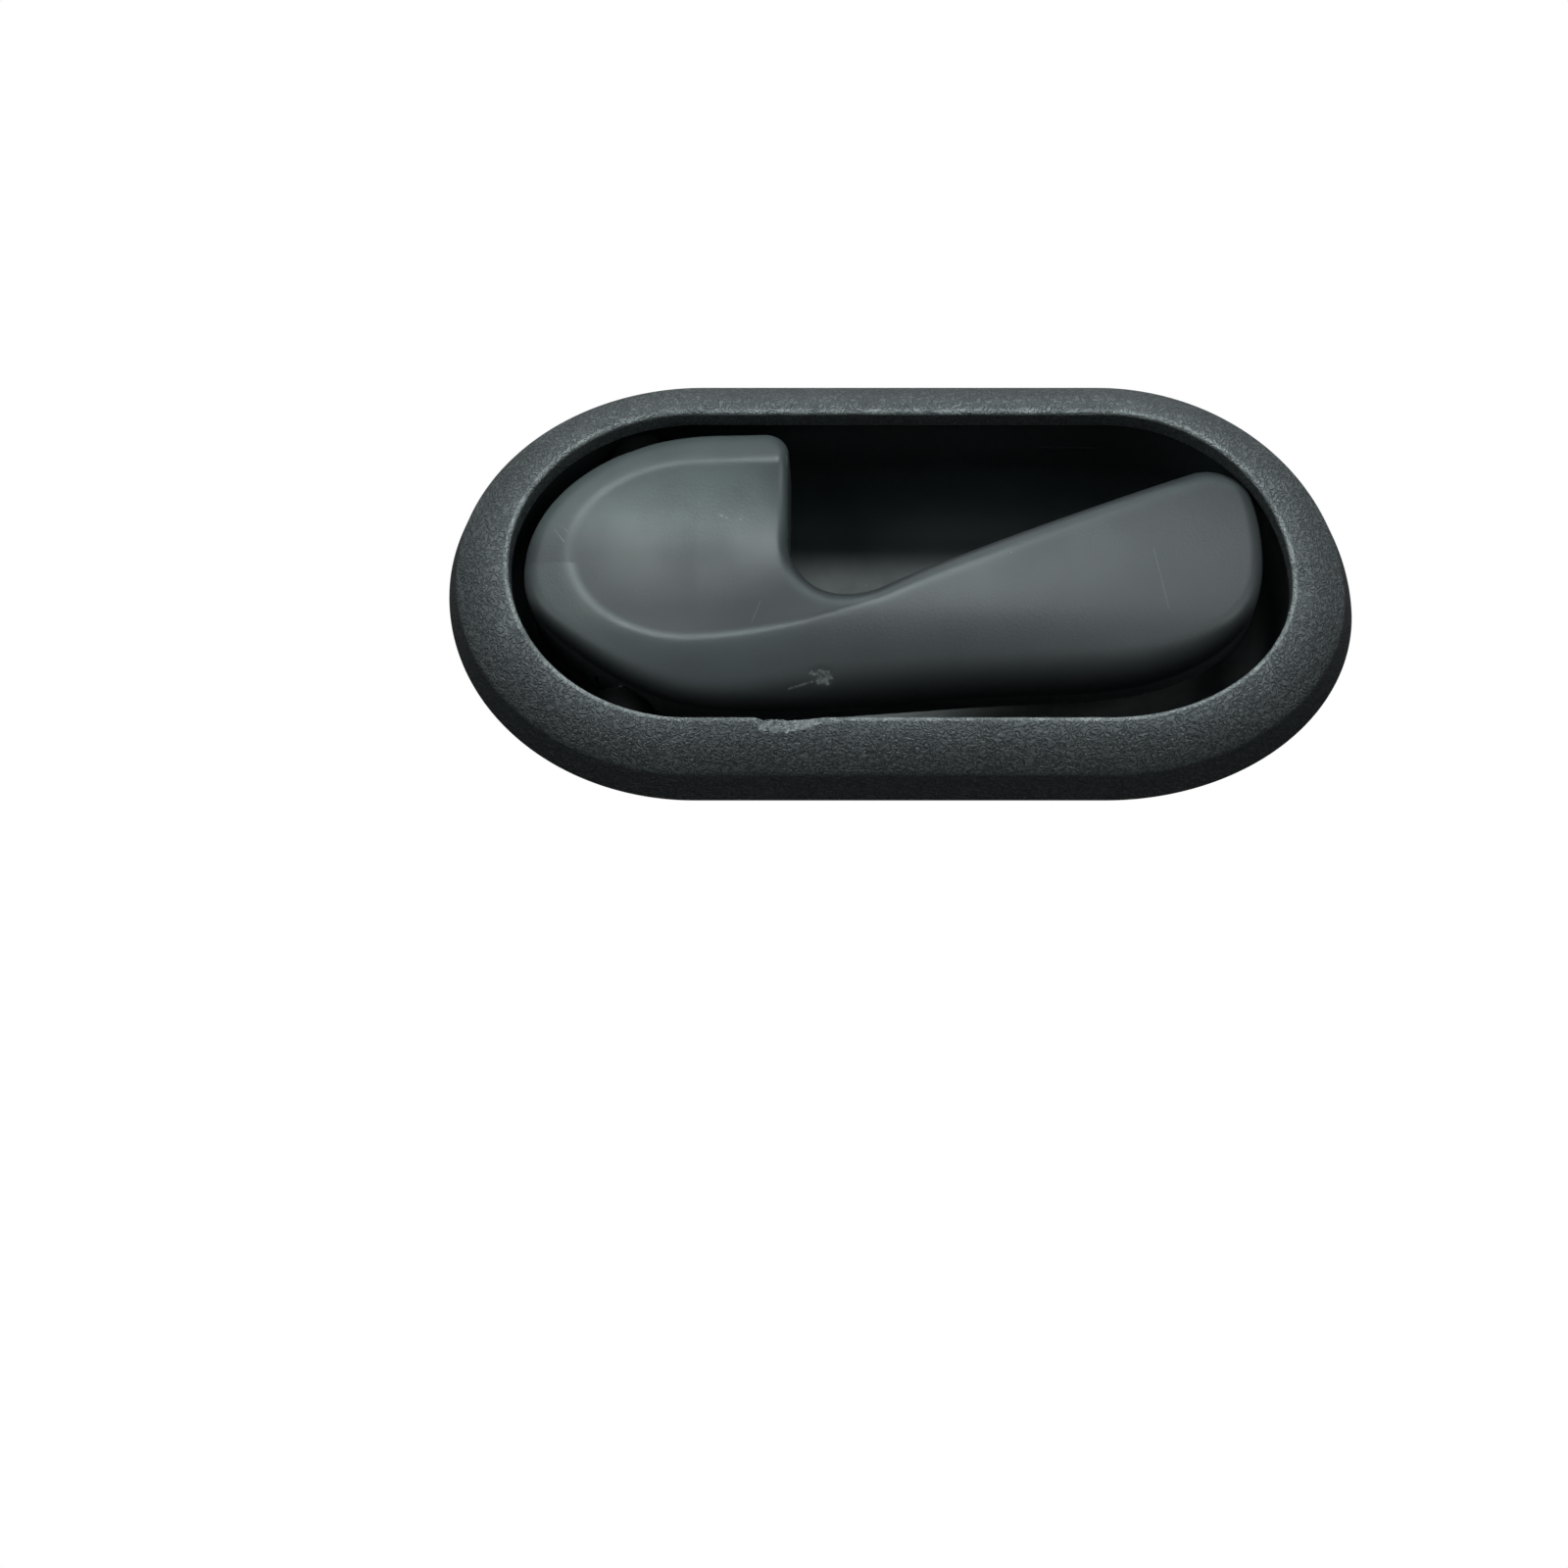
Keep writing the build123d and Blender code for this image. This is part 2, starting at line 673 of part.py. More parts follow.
# Pivot pin with a head on top and a groove for its clip
groove_top = -boss_half - pin_shake
with BuildPart() as pivot_pin:
    with BuildSketch(Plane.XY.offset(-boss_half - pin_tail)):
        with Locations((pivot_x, -pivot_depth)):
            Circle(pin_radius)
    extrude(amount=2 * boss_half + pin_tail + pin_shake)
    with BuildSketch(Plane.XY.offset(boss_half + pin_shake)):
        with Locations((pivot_x, -pivot_depth)):
            Circle(pin_head_radius)
    extrude(amount=pin_head)
    with BuildSketch(Plane.XY.offset(groove_top - groove_width)):
        with Locations((pivot_x, -pivot_depth)):
            Circle(pin_head_radius)
            Circle(pin_radius - groove_depth, mode=Mode.SUBTRACT)
    extrude(amount=groove_width, mode=Mode.SUBTRACT)

pivot_pin.part.label = "pivot_pin"
export_step(pivot_pin.part, "parts/pivot_pin.step")

# Spring clip in the pin's groove
with BuildPart() as pin_clip:
    with BuildSketch(Plane.XY.offset(groove_top - groove_width / 2)):
        with Locations((pivot_x, -pivot_depth)):
            Circle(clip_radius)
            Circle(pin_radius - groove_depth + clip_play, mode=Mode.SUBTRACT)
        with Locations((pivot_x, -pivot_depth + clip_radius / 2)):
            Rectangle(clip_mouth, clip_radius, mode=Mode.SUBTRACT)
    extrude(amount=clip_thick / 2, both=True)

pin_clip.part.label = "pin_clip"
export_step(pin_clip.part, "parts/pin_clip.step")

# Torsion spring: coil round the pin, back leg on the housing's rib, front leg on the lever's rib
with BuildPart() as return_spring:
    with BuildLine() as wire_path:
        coil = Helix(
            coil_pitch,
            coil_turns * coil_pitch,
            coil_radius,
            center=(pivot_x, -pivot_depth, coil_bottom),
            lefthand=True,
        )
        back_end = coil @ 0 - spring_leg * (coil % 0)
        Line(back_end, coil @ 0)
        Line(coil @ 1, coil @ 1 + spring_front_leg * (coil % 1))
    with BuildSketch(Plane(back_end, z_dir=coil % 0)):
        Circle(wire_radius)
    sweep(path=wire_path.wires()[0])

return_spring.part.label = "return_spring"
export_step(return_spring.part, "parts/return_spring.step")

# Rubber rest buffer pressed into its post
with BuildPart() as rest_buffer:
    with BuildSketch(depth_plane(post_front)):
        with Locations((buffer_x, buffer_z)):
            Circle(buffer_radius)
    extrude(amount=buffer_head)
    head_edge = rest_buffer.edges().sort_by(Axis.Y)[0]
    fillet(head_edge, buffer_round)
    with BuildSketch(depth_plane(post_front)):
        with Locations((buffer_x, buffer_z)):
            Circle(buffer_stem)
    extrude(amount=stop_gap - buffer_stem_length)

rest_buffer.part.label = "rest_buffer"
export_step(rest_buffer.part, "parts/rest_buffer.step")
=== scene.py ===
"""Looks of the car interior door handle: grained bezel, satin lever, plain cup and steel parts.

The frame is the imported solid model. x runs along the handle, z is up and the cabin is on the
-y side. Depths count from the door panel's face towards the cabin. All lengths are metres.
"""
import json
from math import atan2, cos, hypot, pi, radians, sin, sqrt

import bmesh
import bpy
import numpy as np
from bpy.props import FloatProperty, FloatVectorProperty, PointerProperty
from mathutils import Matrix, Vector, noise
from mathutils.geometry import delaunay_2d_cdt
from mathutils.kdtree import KDTree


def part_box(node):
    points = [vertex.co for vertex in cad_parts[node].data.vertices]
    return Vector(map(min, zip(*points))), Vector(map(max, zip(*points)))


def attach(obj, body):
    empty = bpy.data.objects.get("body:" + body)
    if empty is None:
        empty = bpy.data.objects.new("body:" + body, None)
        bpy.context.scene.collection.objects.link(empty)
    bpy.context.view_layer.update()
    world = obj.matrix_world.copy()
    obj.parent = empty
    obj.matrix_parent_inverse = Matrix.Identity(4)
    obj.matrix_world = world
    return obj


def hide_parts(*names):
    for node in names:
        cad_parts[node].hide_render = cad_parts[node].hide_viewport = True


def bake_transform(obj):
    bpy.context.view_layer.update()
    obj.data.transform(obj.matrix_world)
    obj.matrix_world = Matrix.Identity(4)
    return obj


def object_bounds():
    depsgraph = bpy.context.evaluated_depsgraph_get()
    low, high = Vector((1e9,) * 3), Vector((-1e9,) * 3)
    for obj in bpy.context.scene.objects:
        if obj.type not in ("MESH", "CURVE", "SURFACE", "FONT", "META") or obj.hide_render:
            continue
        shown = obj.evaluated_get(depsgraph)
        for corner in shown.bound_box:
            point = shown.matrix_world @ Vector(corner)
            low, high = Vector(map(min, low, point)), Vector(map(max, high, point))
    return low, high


bl_info = {
    "name": "Car interior door handle",
    "version": (1, 0, 0),
    "blender": (4, 5, 0),
    "location": "3D View > Sidebar > Handle",
    "description": "Builds the looks of an oval interior door handle around its solid model",
    "category": "Object",
}

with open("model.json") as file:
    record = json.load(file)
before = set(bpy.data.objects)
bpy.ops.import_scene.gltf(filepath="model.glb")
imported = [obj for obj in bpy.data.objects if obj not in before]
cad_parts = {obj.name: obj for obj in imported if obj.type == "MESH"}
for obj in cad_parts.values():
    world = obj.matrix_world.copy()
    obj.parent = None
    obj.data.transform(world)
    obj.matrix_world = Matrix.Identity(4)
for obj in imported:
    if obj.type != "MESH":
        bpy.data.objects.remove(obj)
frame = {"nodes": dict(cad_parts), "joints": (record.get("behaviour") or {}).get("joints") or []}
CAD_BOX = [list(corner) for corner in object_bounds()]
MM = 0.001
WELD = 0.002 * MM

BEZEL_LOW, BEZEL_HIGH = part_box("bezel")
LEVER_LOW, LEVER_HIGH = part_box("lever")
HINGE = Vector(frame["joints"][0]["pos_m"])
IMAGE_SIZE = 1600  # the camera's pixel column and row count along a picture of this side


def length_property(name, description, default):
    """Length in metres that a user may change."""
    return FloatProperty(
        name=name, description=description, default=default, unit="LENGTH", precision=5
    )


def colour_property(name, description, default):
    """Colour that a user may change."""
    return FloatVectorProperty(
        name=name, description=description, default=default, subtype="COLOR", size=3, min=0, max=1
    )


def angle_property(name, description, default):
    """Angle that a user may change."""
    return FloatProperty(name=name, description=description, default=default, subtype="ANGLE")


def power_property(name, description, default):
    """Power of a lamp that a user may change."""
    return FloatProperty(name=name, description=description, default=default, subtype="POWER")


class HANDLE_PG_bezel(bpy.types.PropertyGroup):
    """Sizes of the bezel ring."""

    depth: length_property("Depth", "Height of the ring's front over the panel", 12.2 * MM)
    end_run: length_property("End run", "Length of each elliptical end", 39.0 * MM)
    right_axis: length_property("Right axis", "Height of the right end's widest point", -3.0 * MM)
    left_axis: length_property("Left axis", "Height of the left end's widest point", 0.8 * MM)
    skirt_depth: length_property("Skirt depth", "Height of the skirt over the panel", 6.6 * MM)
    skirt_draft: length_property("Skirt draft", "How far the skirt leans in", 2.0 * MM)
    dome_depth: length_property("Dome depth", "Height of the dome half way across", 10.4 * MM)
    flange_end: length_property("End flange", "Width of the flange at the two ends", 10.65 * MM)
    flange_side: length_property("Side flange", "Width of the flange at top and bottom", 9.2 * MM)
    narrowing: length_property("Narrowing", "The opening's ends are shorter by this", 11.2 * MM)
    land: length_property("Land", "Flat beside the opening", 0.9 * MM)
    rim_round: length_property("Rim round", "Rounding of the inner rim", 0.7 * MM)
    crease_reach: length_property("Crease reach", "How far the crease is rounded each way", 0.6 * MM)
    wall: length_property("Wall", "Thickness of the ring", 2.2 * MM)
    lip_depth: length_property("Lip depth", "The inner lip reaches back to this depth", 8.0 * MM)
    crease_wall: length_property("Crease wall", "Thickness behind the crease", 1.0 * MM)
    gouge_left: length_property("Gouge left", "Left end of the torn place in the rim", -22.1 * MM)
    gouge_right: length_property("Gouge right", "Right end of the torn place in the rim", -9.3 * MM)
    gouge_width: length_property("Gouge width", "Widest reach of the torn place", 3.3 * MM)
    gouge_sink: length_property("Gouge sink", "Deepest point of the torn place", 1.9 * MM)


class HANDLE_PG_lever(bpy.types.PropertyGroup):
    """Sizes of the pull lever's front."""

    crest_height: length_property("Crest height", "Height of the crown's crest", -8.0 * MM)
    upper_crown: length_property("Upper crown", "Radius of the front above the crest", 95.0 * MM)
    lower_crown: length_property("Lower crown", "Radius of the front below the crest", 30.0 * MM)
    bow: length_property("Bow", "Radius of the front along the handle", 520.0 * MM)
    dish_sink: length_property("Dish sink", "Depth of the thumb dish", 3.5 * MM)
    dish_top: length_property("Dish top", "Height of the dish's upper ridge", 17.4 * MM)
    dish_low: length_property("Dish low", "Height of the dish's lower ridge", -13.0 * MM)
    dish_middle: length_property("Dish middle", "Where the dish's round end begins", -31.0 * MM)
    dish_reach: length_property("Dish reach", "Reach of the dish's round end", 19.4 * MM)
    edge_top: length_property("Top edge", "Rounding of the lobe's top", 2.0 * MM)
    edge_left: length_property("Left edge", "Rounding of the lobe's left end", 2.2 * MM)
    edge_low: length_property("Low edge", "Rounding along the paddle's bottom", 4.6 * MM)
    edge_lobe: length_property("Lobe edge", "Rounding along the lobe's bottom", 2.7 * MM)
    edge_notch: length_property("Notch edge", "Rounding of the notch's side", 1.8 * MM)
    edge_paddle: length_property("Paddle edge", "Rounding of the paddle's upper edge", 3.4 * MM)
    edge_tip: length_property("Tip edge", "Rounding of the paddle's right end", 1.9 * MM)
    mesh_size: length_property("Mesh size", "Spacing of the front's points", 0.5 * MM)


class HANDLE_PG_finish(bpy.types.PropertyGroup):
    """Colours of the pieces."""

    bezel: colour_property("Bezel", "Colour of the grained ring", (0.124, 0.134, 0.141))
    lever: colour_property("Lever", "Colour of the satin lever", (0.050, 0.0545, 0.058))
    # colour of the painted sheen where hands rub the lever
    rubbed_sheen: colour_property("Rubbed lever", "Colour where hands rub the lever", (0.118, 0.140, 0.140))
    cup: colour_property("Cup", "Colour of the finger cup", (0.018, 0.023, 0.025))
    # the torn colour also lends a lightened tone to the bezel rim's painted highlight
    torn: colour_property("Torn plastic", "Colour of chips and gouges", (0.36, 0.38, 0.385))
    # the dust colour is also the tone of the finger cup's painted light
    dust: colour_property("Dust", "Colour of dust specks", (0.42, 0.43, 0.43))
    steel: colour_property("Steel", "Colour of the pin, clip and spring", (0.56, 0.565, 0.575))
    rubber: colour_property("Rubber", "Colour of the rest buffer", (0.018, 0.018, 0.019))


class HANDLE_PG_studio(bpy.types.PropertyGroup):
    """Camera and light."""

    lens: FloatProperty(
        name="Lens", description="Focal length in millimetres", default=66.5, unit="CAMERA"
    )
    distance: length_property("Distance", "From the camera to the bezel's back plane", 450.0 * MM)
    below: angle_property("Below", "The camera looks up at the handle by this angle", radians(22))
    centre_x: FloatProperty(name="Centre x", description="Origin's pixel column", default=918.2)
    centre_y: FloatProperty(name="Centre y", description="Origin's pixel row", default=603.8)
    key_height: angle_property("Key height", "Elevation of the key lamp", radians(33))
    key_width: length_property("Key width", "Width of the key lamp", 0.52)
    key_rise: length_property("Key rise", "Height of the key lamp", 0.34)
    key_power: power_property("Key power", "Power of the key lamp", 5.6)
    top_height: angle_property("Top height", "Elevation of the top lamp", radians(85))
    top_width: length_property("Top width", "Width of the top lamp", 0.9)
    top_rise: length_property("Top rise", "Depth of the top lamp", 0.3)
    top_power: power_property("Top power", "Power of the top lamp", 1.5)
    back_height: angle_property("Back height", "Elevation of the lamp behind the handle", radians(8))
    back_width: length_property("Back width", "Width of the lamp behind the handle", 0.4)
    back_rise: length_property("Back rise", "Height of the lamp behind the handle", 0.4)
    back_power: power_property("Back power", "Power of the lamp behind the handle", 8.0)
    fill_turn: angle_property("Fill turn", "Each fill lamp stands this far to its side", radians(40))
    fill_height: angle_property("Fill height", "Elevation of the fill lamps", 0.0)
    fill_width: length_property("Fill width", "Width of each fill lamp", 0.6)
    fill_rise: length_property("Fill rise", "Height of each fill lamp", 0.45)
    fill_power: power_property("Fill power", "Power of each fill lamp", 2.2)
    lamp_distance: length_property("Lamp distance", "From the handle to each lamp", 1.0)
    lamp_colour: colour_property("Lamp colour", "Colour of the lamps", (0.90, 1.0, 1.0))
    floor_drop: length_property("Floor drop", "The floor lies this far below the handle", 0.6)
    floor_size: length_property("Floor size", "Side of the floor", 6.0)
    floor_colour: colour_property("Floor colour", "Colour of the floor", (0.8, 0.8, 0.8))


# Meshes


def add_piece(name, node, mesh, material):
    """Piece that stands for a solid node."""
    piece = bpy.data.objects.new(name, mesh)
    bpy.context.scene.collection.objects.link(piece)
    piece.data.materials.append(material)
    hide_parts(node)
    return piece


def smooth_step(value):
    """Ease from 0 to 1."""
    t = np.clip(value, 0.0, 1.0)
    return t * t * (3 - 2 * t)


def bell(value, middle, width):
    """Smooth peak of height 1 at the middle."""
    return np.exp(-(((value - middle) / width) ** 2))


def store_values(mesh, name, values):
    """Keep a value of each point on the mesh, for its material."""
    layer = mesh.attributes.new(name, "FLOAT", "POINT")
    layer.data.foreach_set("value", np.asarray(values, np.float32))


def oval_ring(row, size, fractions):
    """Points (x, z) round an oval with elliptical ends, counter-clockwise from the right end."""
    half = row[0] / 2
    rise = row[1] / 2
    run = row[2]
    quarter, straight_top, straight_low = fractions
    up = np.sin(quarter * pi / 2)
    along = np.cos(quarter * pi / 2)
    right = half - run
    right_axis = size.right_axis
    left_axis = size.left_axis
    xs = [
        right + run * along,
        right - 2 * right * straight_top,
        -right - run * up,
        -right - run * along,
        -right + 2 * right * straight_low,
        right + run * up,
    ]
    zs = [
        right_axis + (rise - right_axis) * up,
        np.full_like(straight_top, rise),
        left_axis + (rise - left_axis) * along,
        left_axis - (rise + left_axis) * up,
        np.full_like(straight_low, -rise),
        right_axis - (rise + right_axis) * along,
    ]
    return np.stack([np.concatenate(xs), np.concatenate(zs)], axis=1)


HOLLOW_SHARE = 0.45  # how far the ring's hollow back follows the dome towards the opening

# Rows of points across each stretch of the ring's cross-section
SKIRT_ROWS = 7
BOW_ROWS = 7  # across the crease and across the crest
DOME_ROWS = 30
RIM_ROWS = 8
LIP_ROWS = 6
UNDER_ROWS = 5
HOLLOW_ROWS = 4
BACK_ROWS = 5


def bezel_rows(size):
    """Cross-section of the ring as rows of (length, height, end run, depth), outside first."""
    length = BEZEL_HIGH.x - BEZEL_LOW.x
    height = BEZEL_HIGH.z - BEZEL_LOW.z
    front = size.depth

    def outer(inset, depth):
        return np.array([length - 2 * inset, height - 2 * inset, size.end_run - inset, depth])

    def rim(outset, depth):
        return np.array(
            [
                length - 2 * size.flange_end + 2 * outset,
                height - 2 * size.flange_side + 2 * outset,
                size.end_run - size.narrowing + outset,
                depth,
            ]
        )

    crease = outer(size.skirt_draft, size.skirt_depth)
    crest = rim(size.land, front)
    bend = 2 * (2 * size.dome_depth - size.skirt_depth - front)

    def dome(share):
        row = crease + share * (crest - crease)
        row[3] = size.skirt_depth + share * (front - size.skirt_depth) + bend * share * (1 - share)
        return row

    def bow(start, corner, end, count):
        return [
            (1 - t) ** 2 * start + 2 * t * (1 - t) * corner + t * t * end
            for t in np.linspace(0, 1, count)
        ]

    skirt_share = 1 - size.crease_reach / size.skirt_depth
    crease_share = size.crease_reach / size.flange_side
    crest_share = 1 - size.land / size.flange_side
    skirt_end = outer(size.skirt_draft * skirt_share, size.skirt_depth * skirt_share)
    rows = [outer(0, 0) + t * (skirt_end - outer(0, 0)) for t in np.linspace(0, 1, SKIRT_ROWS)[:-1]]
    rows += bow(skirt_end, crease, dome(crease_share), BOW_ROWS)
    rows += [dome(share) for share in np.linspace(crease_share, crest_share, DOME_ROWS)[1:-1]]
    rows += bow(dome(crest_share), crest, rim(size.rim_round, front), BOW_ROWS)
    for turn in np.linspace(0, pi / 2, RIM_ROWS)[1:]:
        rows.append(rim(size.rim_round * (1 - sin(turn)), front - size.rim_round * (1 - cos(turn))))
    for depth in np.linspace(front - size.rim_round, size.lip_depth, LIP_ROWS)[1:]:
        rows.append(rim(0, depth))
    hollow = dome(HOLLOW_SHARE)
    hollow = np.array([*(hollow[:3] - np.array([2, 2, 1]) * size.wall), size.lip_depth])
    under = rim(0, size.lip_depth)
    rows += [under + t * (hollow - under) for t in np.linspace(0, 1, UNDER_ROWS)[1:]]
    hollow_foot = outer(size.skirt_draft + size.wall, size.skirt_depth - size.crease_wall)
    rows += [hollow + t * (hollow_foot - hollow) for t in np.linspace(0, 1, HOLLOW_ROWS)[1:]]
    base = outer(size.wall, 0)
    rows += [hollow_foot + t * (base - hollow_foot) for t in np.linspace(0, 1, BACK_ROWS)[1:]]
    return rows


BROAD_HIGHLIGHT_AND_POLISH = 0.16  # weaker painted highlight and polish round the opening
BROAD_REACH = 0.6  # over this share of the flange


def rim_polish_and_highlight(row, size):
    """How much painted highlight and polish a row of the ring gets: the rounded inner rim most."""
    opening = BEZEL_HIGH.z - BEZEL_LOW.z - 2 * size.flange_side
    outset = (row[1] - opening) / 2
    if row[3] < size.skirt_depth or outset <= 0:
        return 0.0
    middle = size.rim_round / 2
    edge = 1 - smooth_step(abs(outset - middle) / size.rim_round)
    broad = BROAD_HIGHLIGHT_AND_POLISH * (1 - smooth_step(outset / (BROAD_REACH * size.flange_side)))
    return float(max(edge, broad))


def skirt_shade(row, size):
    """How much painted shade a row of the ring gets: the skirt below the crease."""
    return float(1 - smooth_step((row[3] - size.skirt_depth + size.crease_reach) / size.crease_reach))


# Torn place in the ring's rim; shares count from its left end to its right end
GOUGE_OPENS = 0.16  # it reaches its full width over this share
GOUGE_NARROWS = 0.34  # and narrows from here
GOUGE_TAPER = 1.25  # power of the narrowing
GOUGE_RAGGED = 0.62  # its right end is smooth from here on
GOUGE_RAGGED_FADE = 0.3  # and it gets ragged over this share
GOUGE_WOBBLE = 0.35  # unevenness of its border, as a share of its width
GOUGE_WOBBLE_SCALE = 900  # waves of the border per metre
GOUGE_SPREAD = 1.3  # most that the unevenness widens it by
GOUGE_STEEP = 1.3  # it is at full depth where its width times this is the whole width
GOUGE_LUMP = 0.55 * MM  # lumps of its floor
GOUGE_LUMP_RISE = 0.25 * MM  # and their mean height
GOUGE_LUMP_SCALE = 1500  # lumps per metre
GOUGE_BOWL = 0.8  # power of the floor's rise towards the border
GOUGE_PALE = 3.5  # how fast the torn colour sets in behind the border
GOUGE_INNER = 0.2 * MM  # it starts this far inside the opening
LIP_MARGIN = 0.3 * MM  # points this near the lip's end are left alone
LIP_REST = 0.5 * MM  # the floor stays this far in front of the lip's end
LEAST_CUT = 0.01 * MM  # shallower cuts are left out


def tear_rim(points, size):
    """Cut a ragged gouge into the ring's lower inner rim and return how torn each point is."""
    rim_z = BEZEL_LOW.z + size.flange_side
    span = size.gouge_right - size.gouge_left
    torn = np.zeros(len(points))
    for i, (x, y, z) in enumerate(points):
        share = (x - size.gouge_left) / span
        out = rim_z - z
        if not 0 < share < 1 or out < -GOUGE_INNER or out > GOUGE_SPREAD * size.gouge_width:
            continue
        if -y < size.lip_depth + LIP_MARGIN:
            continue
        ragged = smooth_step((GOUGE_RAGGED - share) / GOUGE_RAGGED_FADE)
        narrowing = max(0.0, (share - GOUGE_NARROWS) / (1 - GOUGE_NARROWS)) ** GOUGE_TAPER
        outline = min(1.0, share / GOUGE_OPENS) * (1 - narrowing)
        wobble = noise.fractal(Vector((x, 0.3, 0.0)) * GOUGE_WOBBLE_SCALE, 1.0, 2.0, 3)
        width = size.gouge_width * outline * (1 + GOUGE_WOBBLE * ragged * wobble)
        if out >= width or width <= 0:
            continue
        inwards = 1 - out / width
        sink = size.gouge_sink * min(1.0, GOUGE_STEEP * outline) * inwards**GOUGE_BOWL
        lump = noise.fractal(Vector((x, y, z)) * GOUGE_LUMP_SCALE, 0.9, 2.1, 4)
        floor = size.depth - sink + ragged * (GOUGE_LUMP * lump + GOUGE_LUMP_RISE)
        level = min(-y, max(floor, size.lip_depth + LIP_REST))
        if level < -y - LEAST_CUT:
            points[i][1] = -level
            torn[i] = min(1.0, inwards * GOUGE_PALE)
    return torn


BEHIND_PANEL = 0.1 * MM  # what reaches further back than this belongs to a hook
SAME_LEVEL = 0.05 * MM  # corners of a hook this near to each other are level
HOOK_ROOT = 0.2 * MM  # the hooks root this far past the crease


def snap_hook(bm, size, side_x, side_z):
    """One of the hooks behind the ring, read from the solid bezel's own corners."""
    node = frame["nodes"]["bezel"].data
    corners = np.array([v.co for v in node.vertices])
    hooks = corners[corners[:, 1] > BEHIND_PANEL]
    mine = hooks[(hooks[:, 0] * side_x > 0) & (hooks[:, 2] * side_z > 0)]
    x_low, x_high = mine[:, 0].min(), mine[:, 0].max()
    rise = np.abs(mine[:, 2])
    back = mine[:, 1].max()
    nose = mine[np.isclose(mine[:, 1], back, atol=WELD * 10)]
    barb_front = mine[rise < rise.min() + SAME_LEVEL][:, 1]
    leg_in = np.unique(np.round(rise[mine[:, 1] < barb_front.min() + SAME_LEVEL], 6))[-2:]
    nose_rise = np.abs(nose[:, 2])
    root = -(size.skirt_depth + HOOK_ROOT)
    section = [
        (root, leg_in[0]),
        (barb_front.min(), leg_in[0]),
        (barb_front.min(), rise.min()),
        (barb_front.max(), rise.min()),
        (back, nose_rise.min()),
        (back, nose_rise.max()),
        (root, rise.max()),
    ]
    ends = []
    for x in (x_low, x_high):
        ends.append([bm.verts.new((x, y, z * side_z)) for y, z in section])
    bm.faces.new(ends[0])
    bm.faces.new(ends[1])
    for i in range(len(section)):
        j = (i + 1) % len(section)
        bm.faces.new((ends[0][i], ends[0][j], ends[1][j], ends[1][i]))


# Stretches of the ring's lower straight, with their steps: fine at the torn place
LOW_STRETCHES = ((0, 0.14, 24), (0.14, 0.38, 120), (0.38, 1, 75))
QUARTER_STEPS = 96  # along each quarter of the oval ends
TOP_STEPS = 120  # along the upper straight
BEZEL_CREASE = radians(38)  # sharper edges of the bezel shade as edges


def build_bezel(size):
    """Mesh of the ring with its gouge and hooks."""
    quarter = np.linspace(0, 1, QUARTER_STEPS + 1)[:-1]
    straight_top = np.linspace(0, 1, TOP_STEPS + 1)[:-1]
    straight_low = np.concatenate(
        [np.linspace(start, end, steps + 1)[:-1] for start, end, steps in LOW_STRETCHES]
    )
    fractions = (quarter, straight_top, straight_low)
    rows = bezel_rows(size)
    rings = [oval_ring(row, size, fractions) for row in rows]
    count = len(rings[0])
    points = np.concatenate(
        [np.stack([r[:, 0], np.full(count, -row[3]), r[:, 1]], axis=1) for r, row in zip(rings, rows)]
    )
    torn = tear_rim(points, size)
    # painted highlight and polish along the rim, for each row
    polish = np.repeat([rim_polish_and_highlight(row, size) for row in rows], count)
    # painted shade on the skirt below the crease, for each row
    grime = np.repeat([skirt_shade(row, size) for row in rows], count)
    bm = bmesh.new()
    verts = [bm.verts.new(p) for p in points]
    for k in range(len(rows)):
        low = k * count
        high = (k + 1) % len(rows) * count
        for i in range(count):
            j = (i + 1) % count
            bm.faces.new((verts[low + i], verts[low + j], verts[high + j], verts[high + i]))
    for side_x in (-1, 1):
        for side_z in (-1, 1):
            snap_hook(bm, size, side_x, side_z)
    bmesh.ops.recalc_face_normals(bm, faces=bm.faces)
    for face in bm.faces:
        face.smooth = len(face.verts) == 4
    mesh = bpy.data.meshes.new("bezel_ring")
    bm.to_mesh(mesh)
    bm.free()
    rest = np.zeros(len(mesh.vertices) - len(torn))
    store_values(mesh, "wear", np.concatenate([torn, rest]))
    store_values(mesh, "polish", np.concatenate([polish, rest]))
    store_values(mesh, "grime", np.concatenate([grime, rest]))
    mesh.set_sharp_from_angle(angle=BEZEL_CREASE)
    return mesh


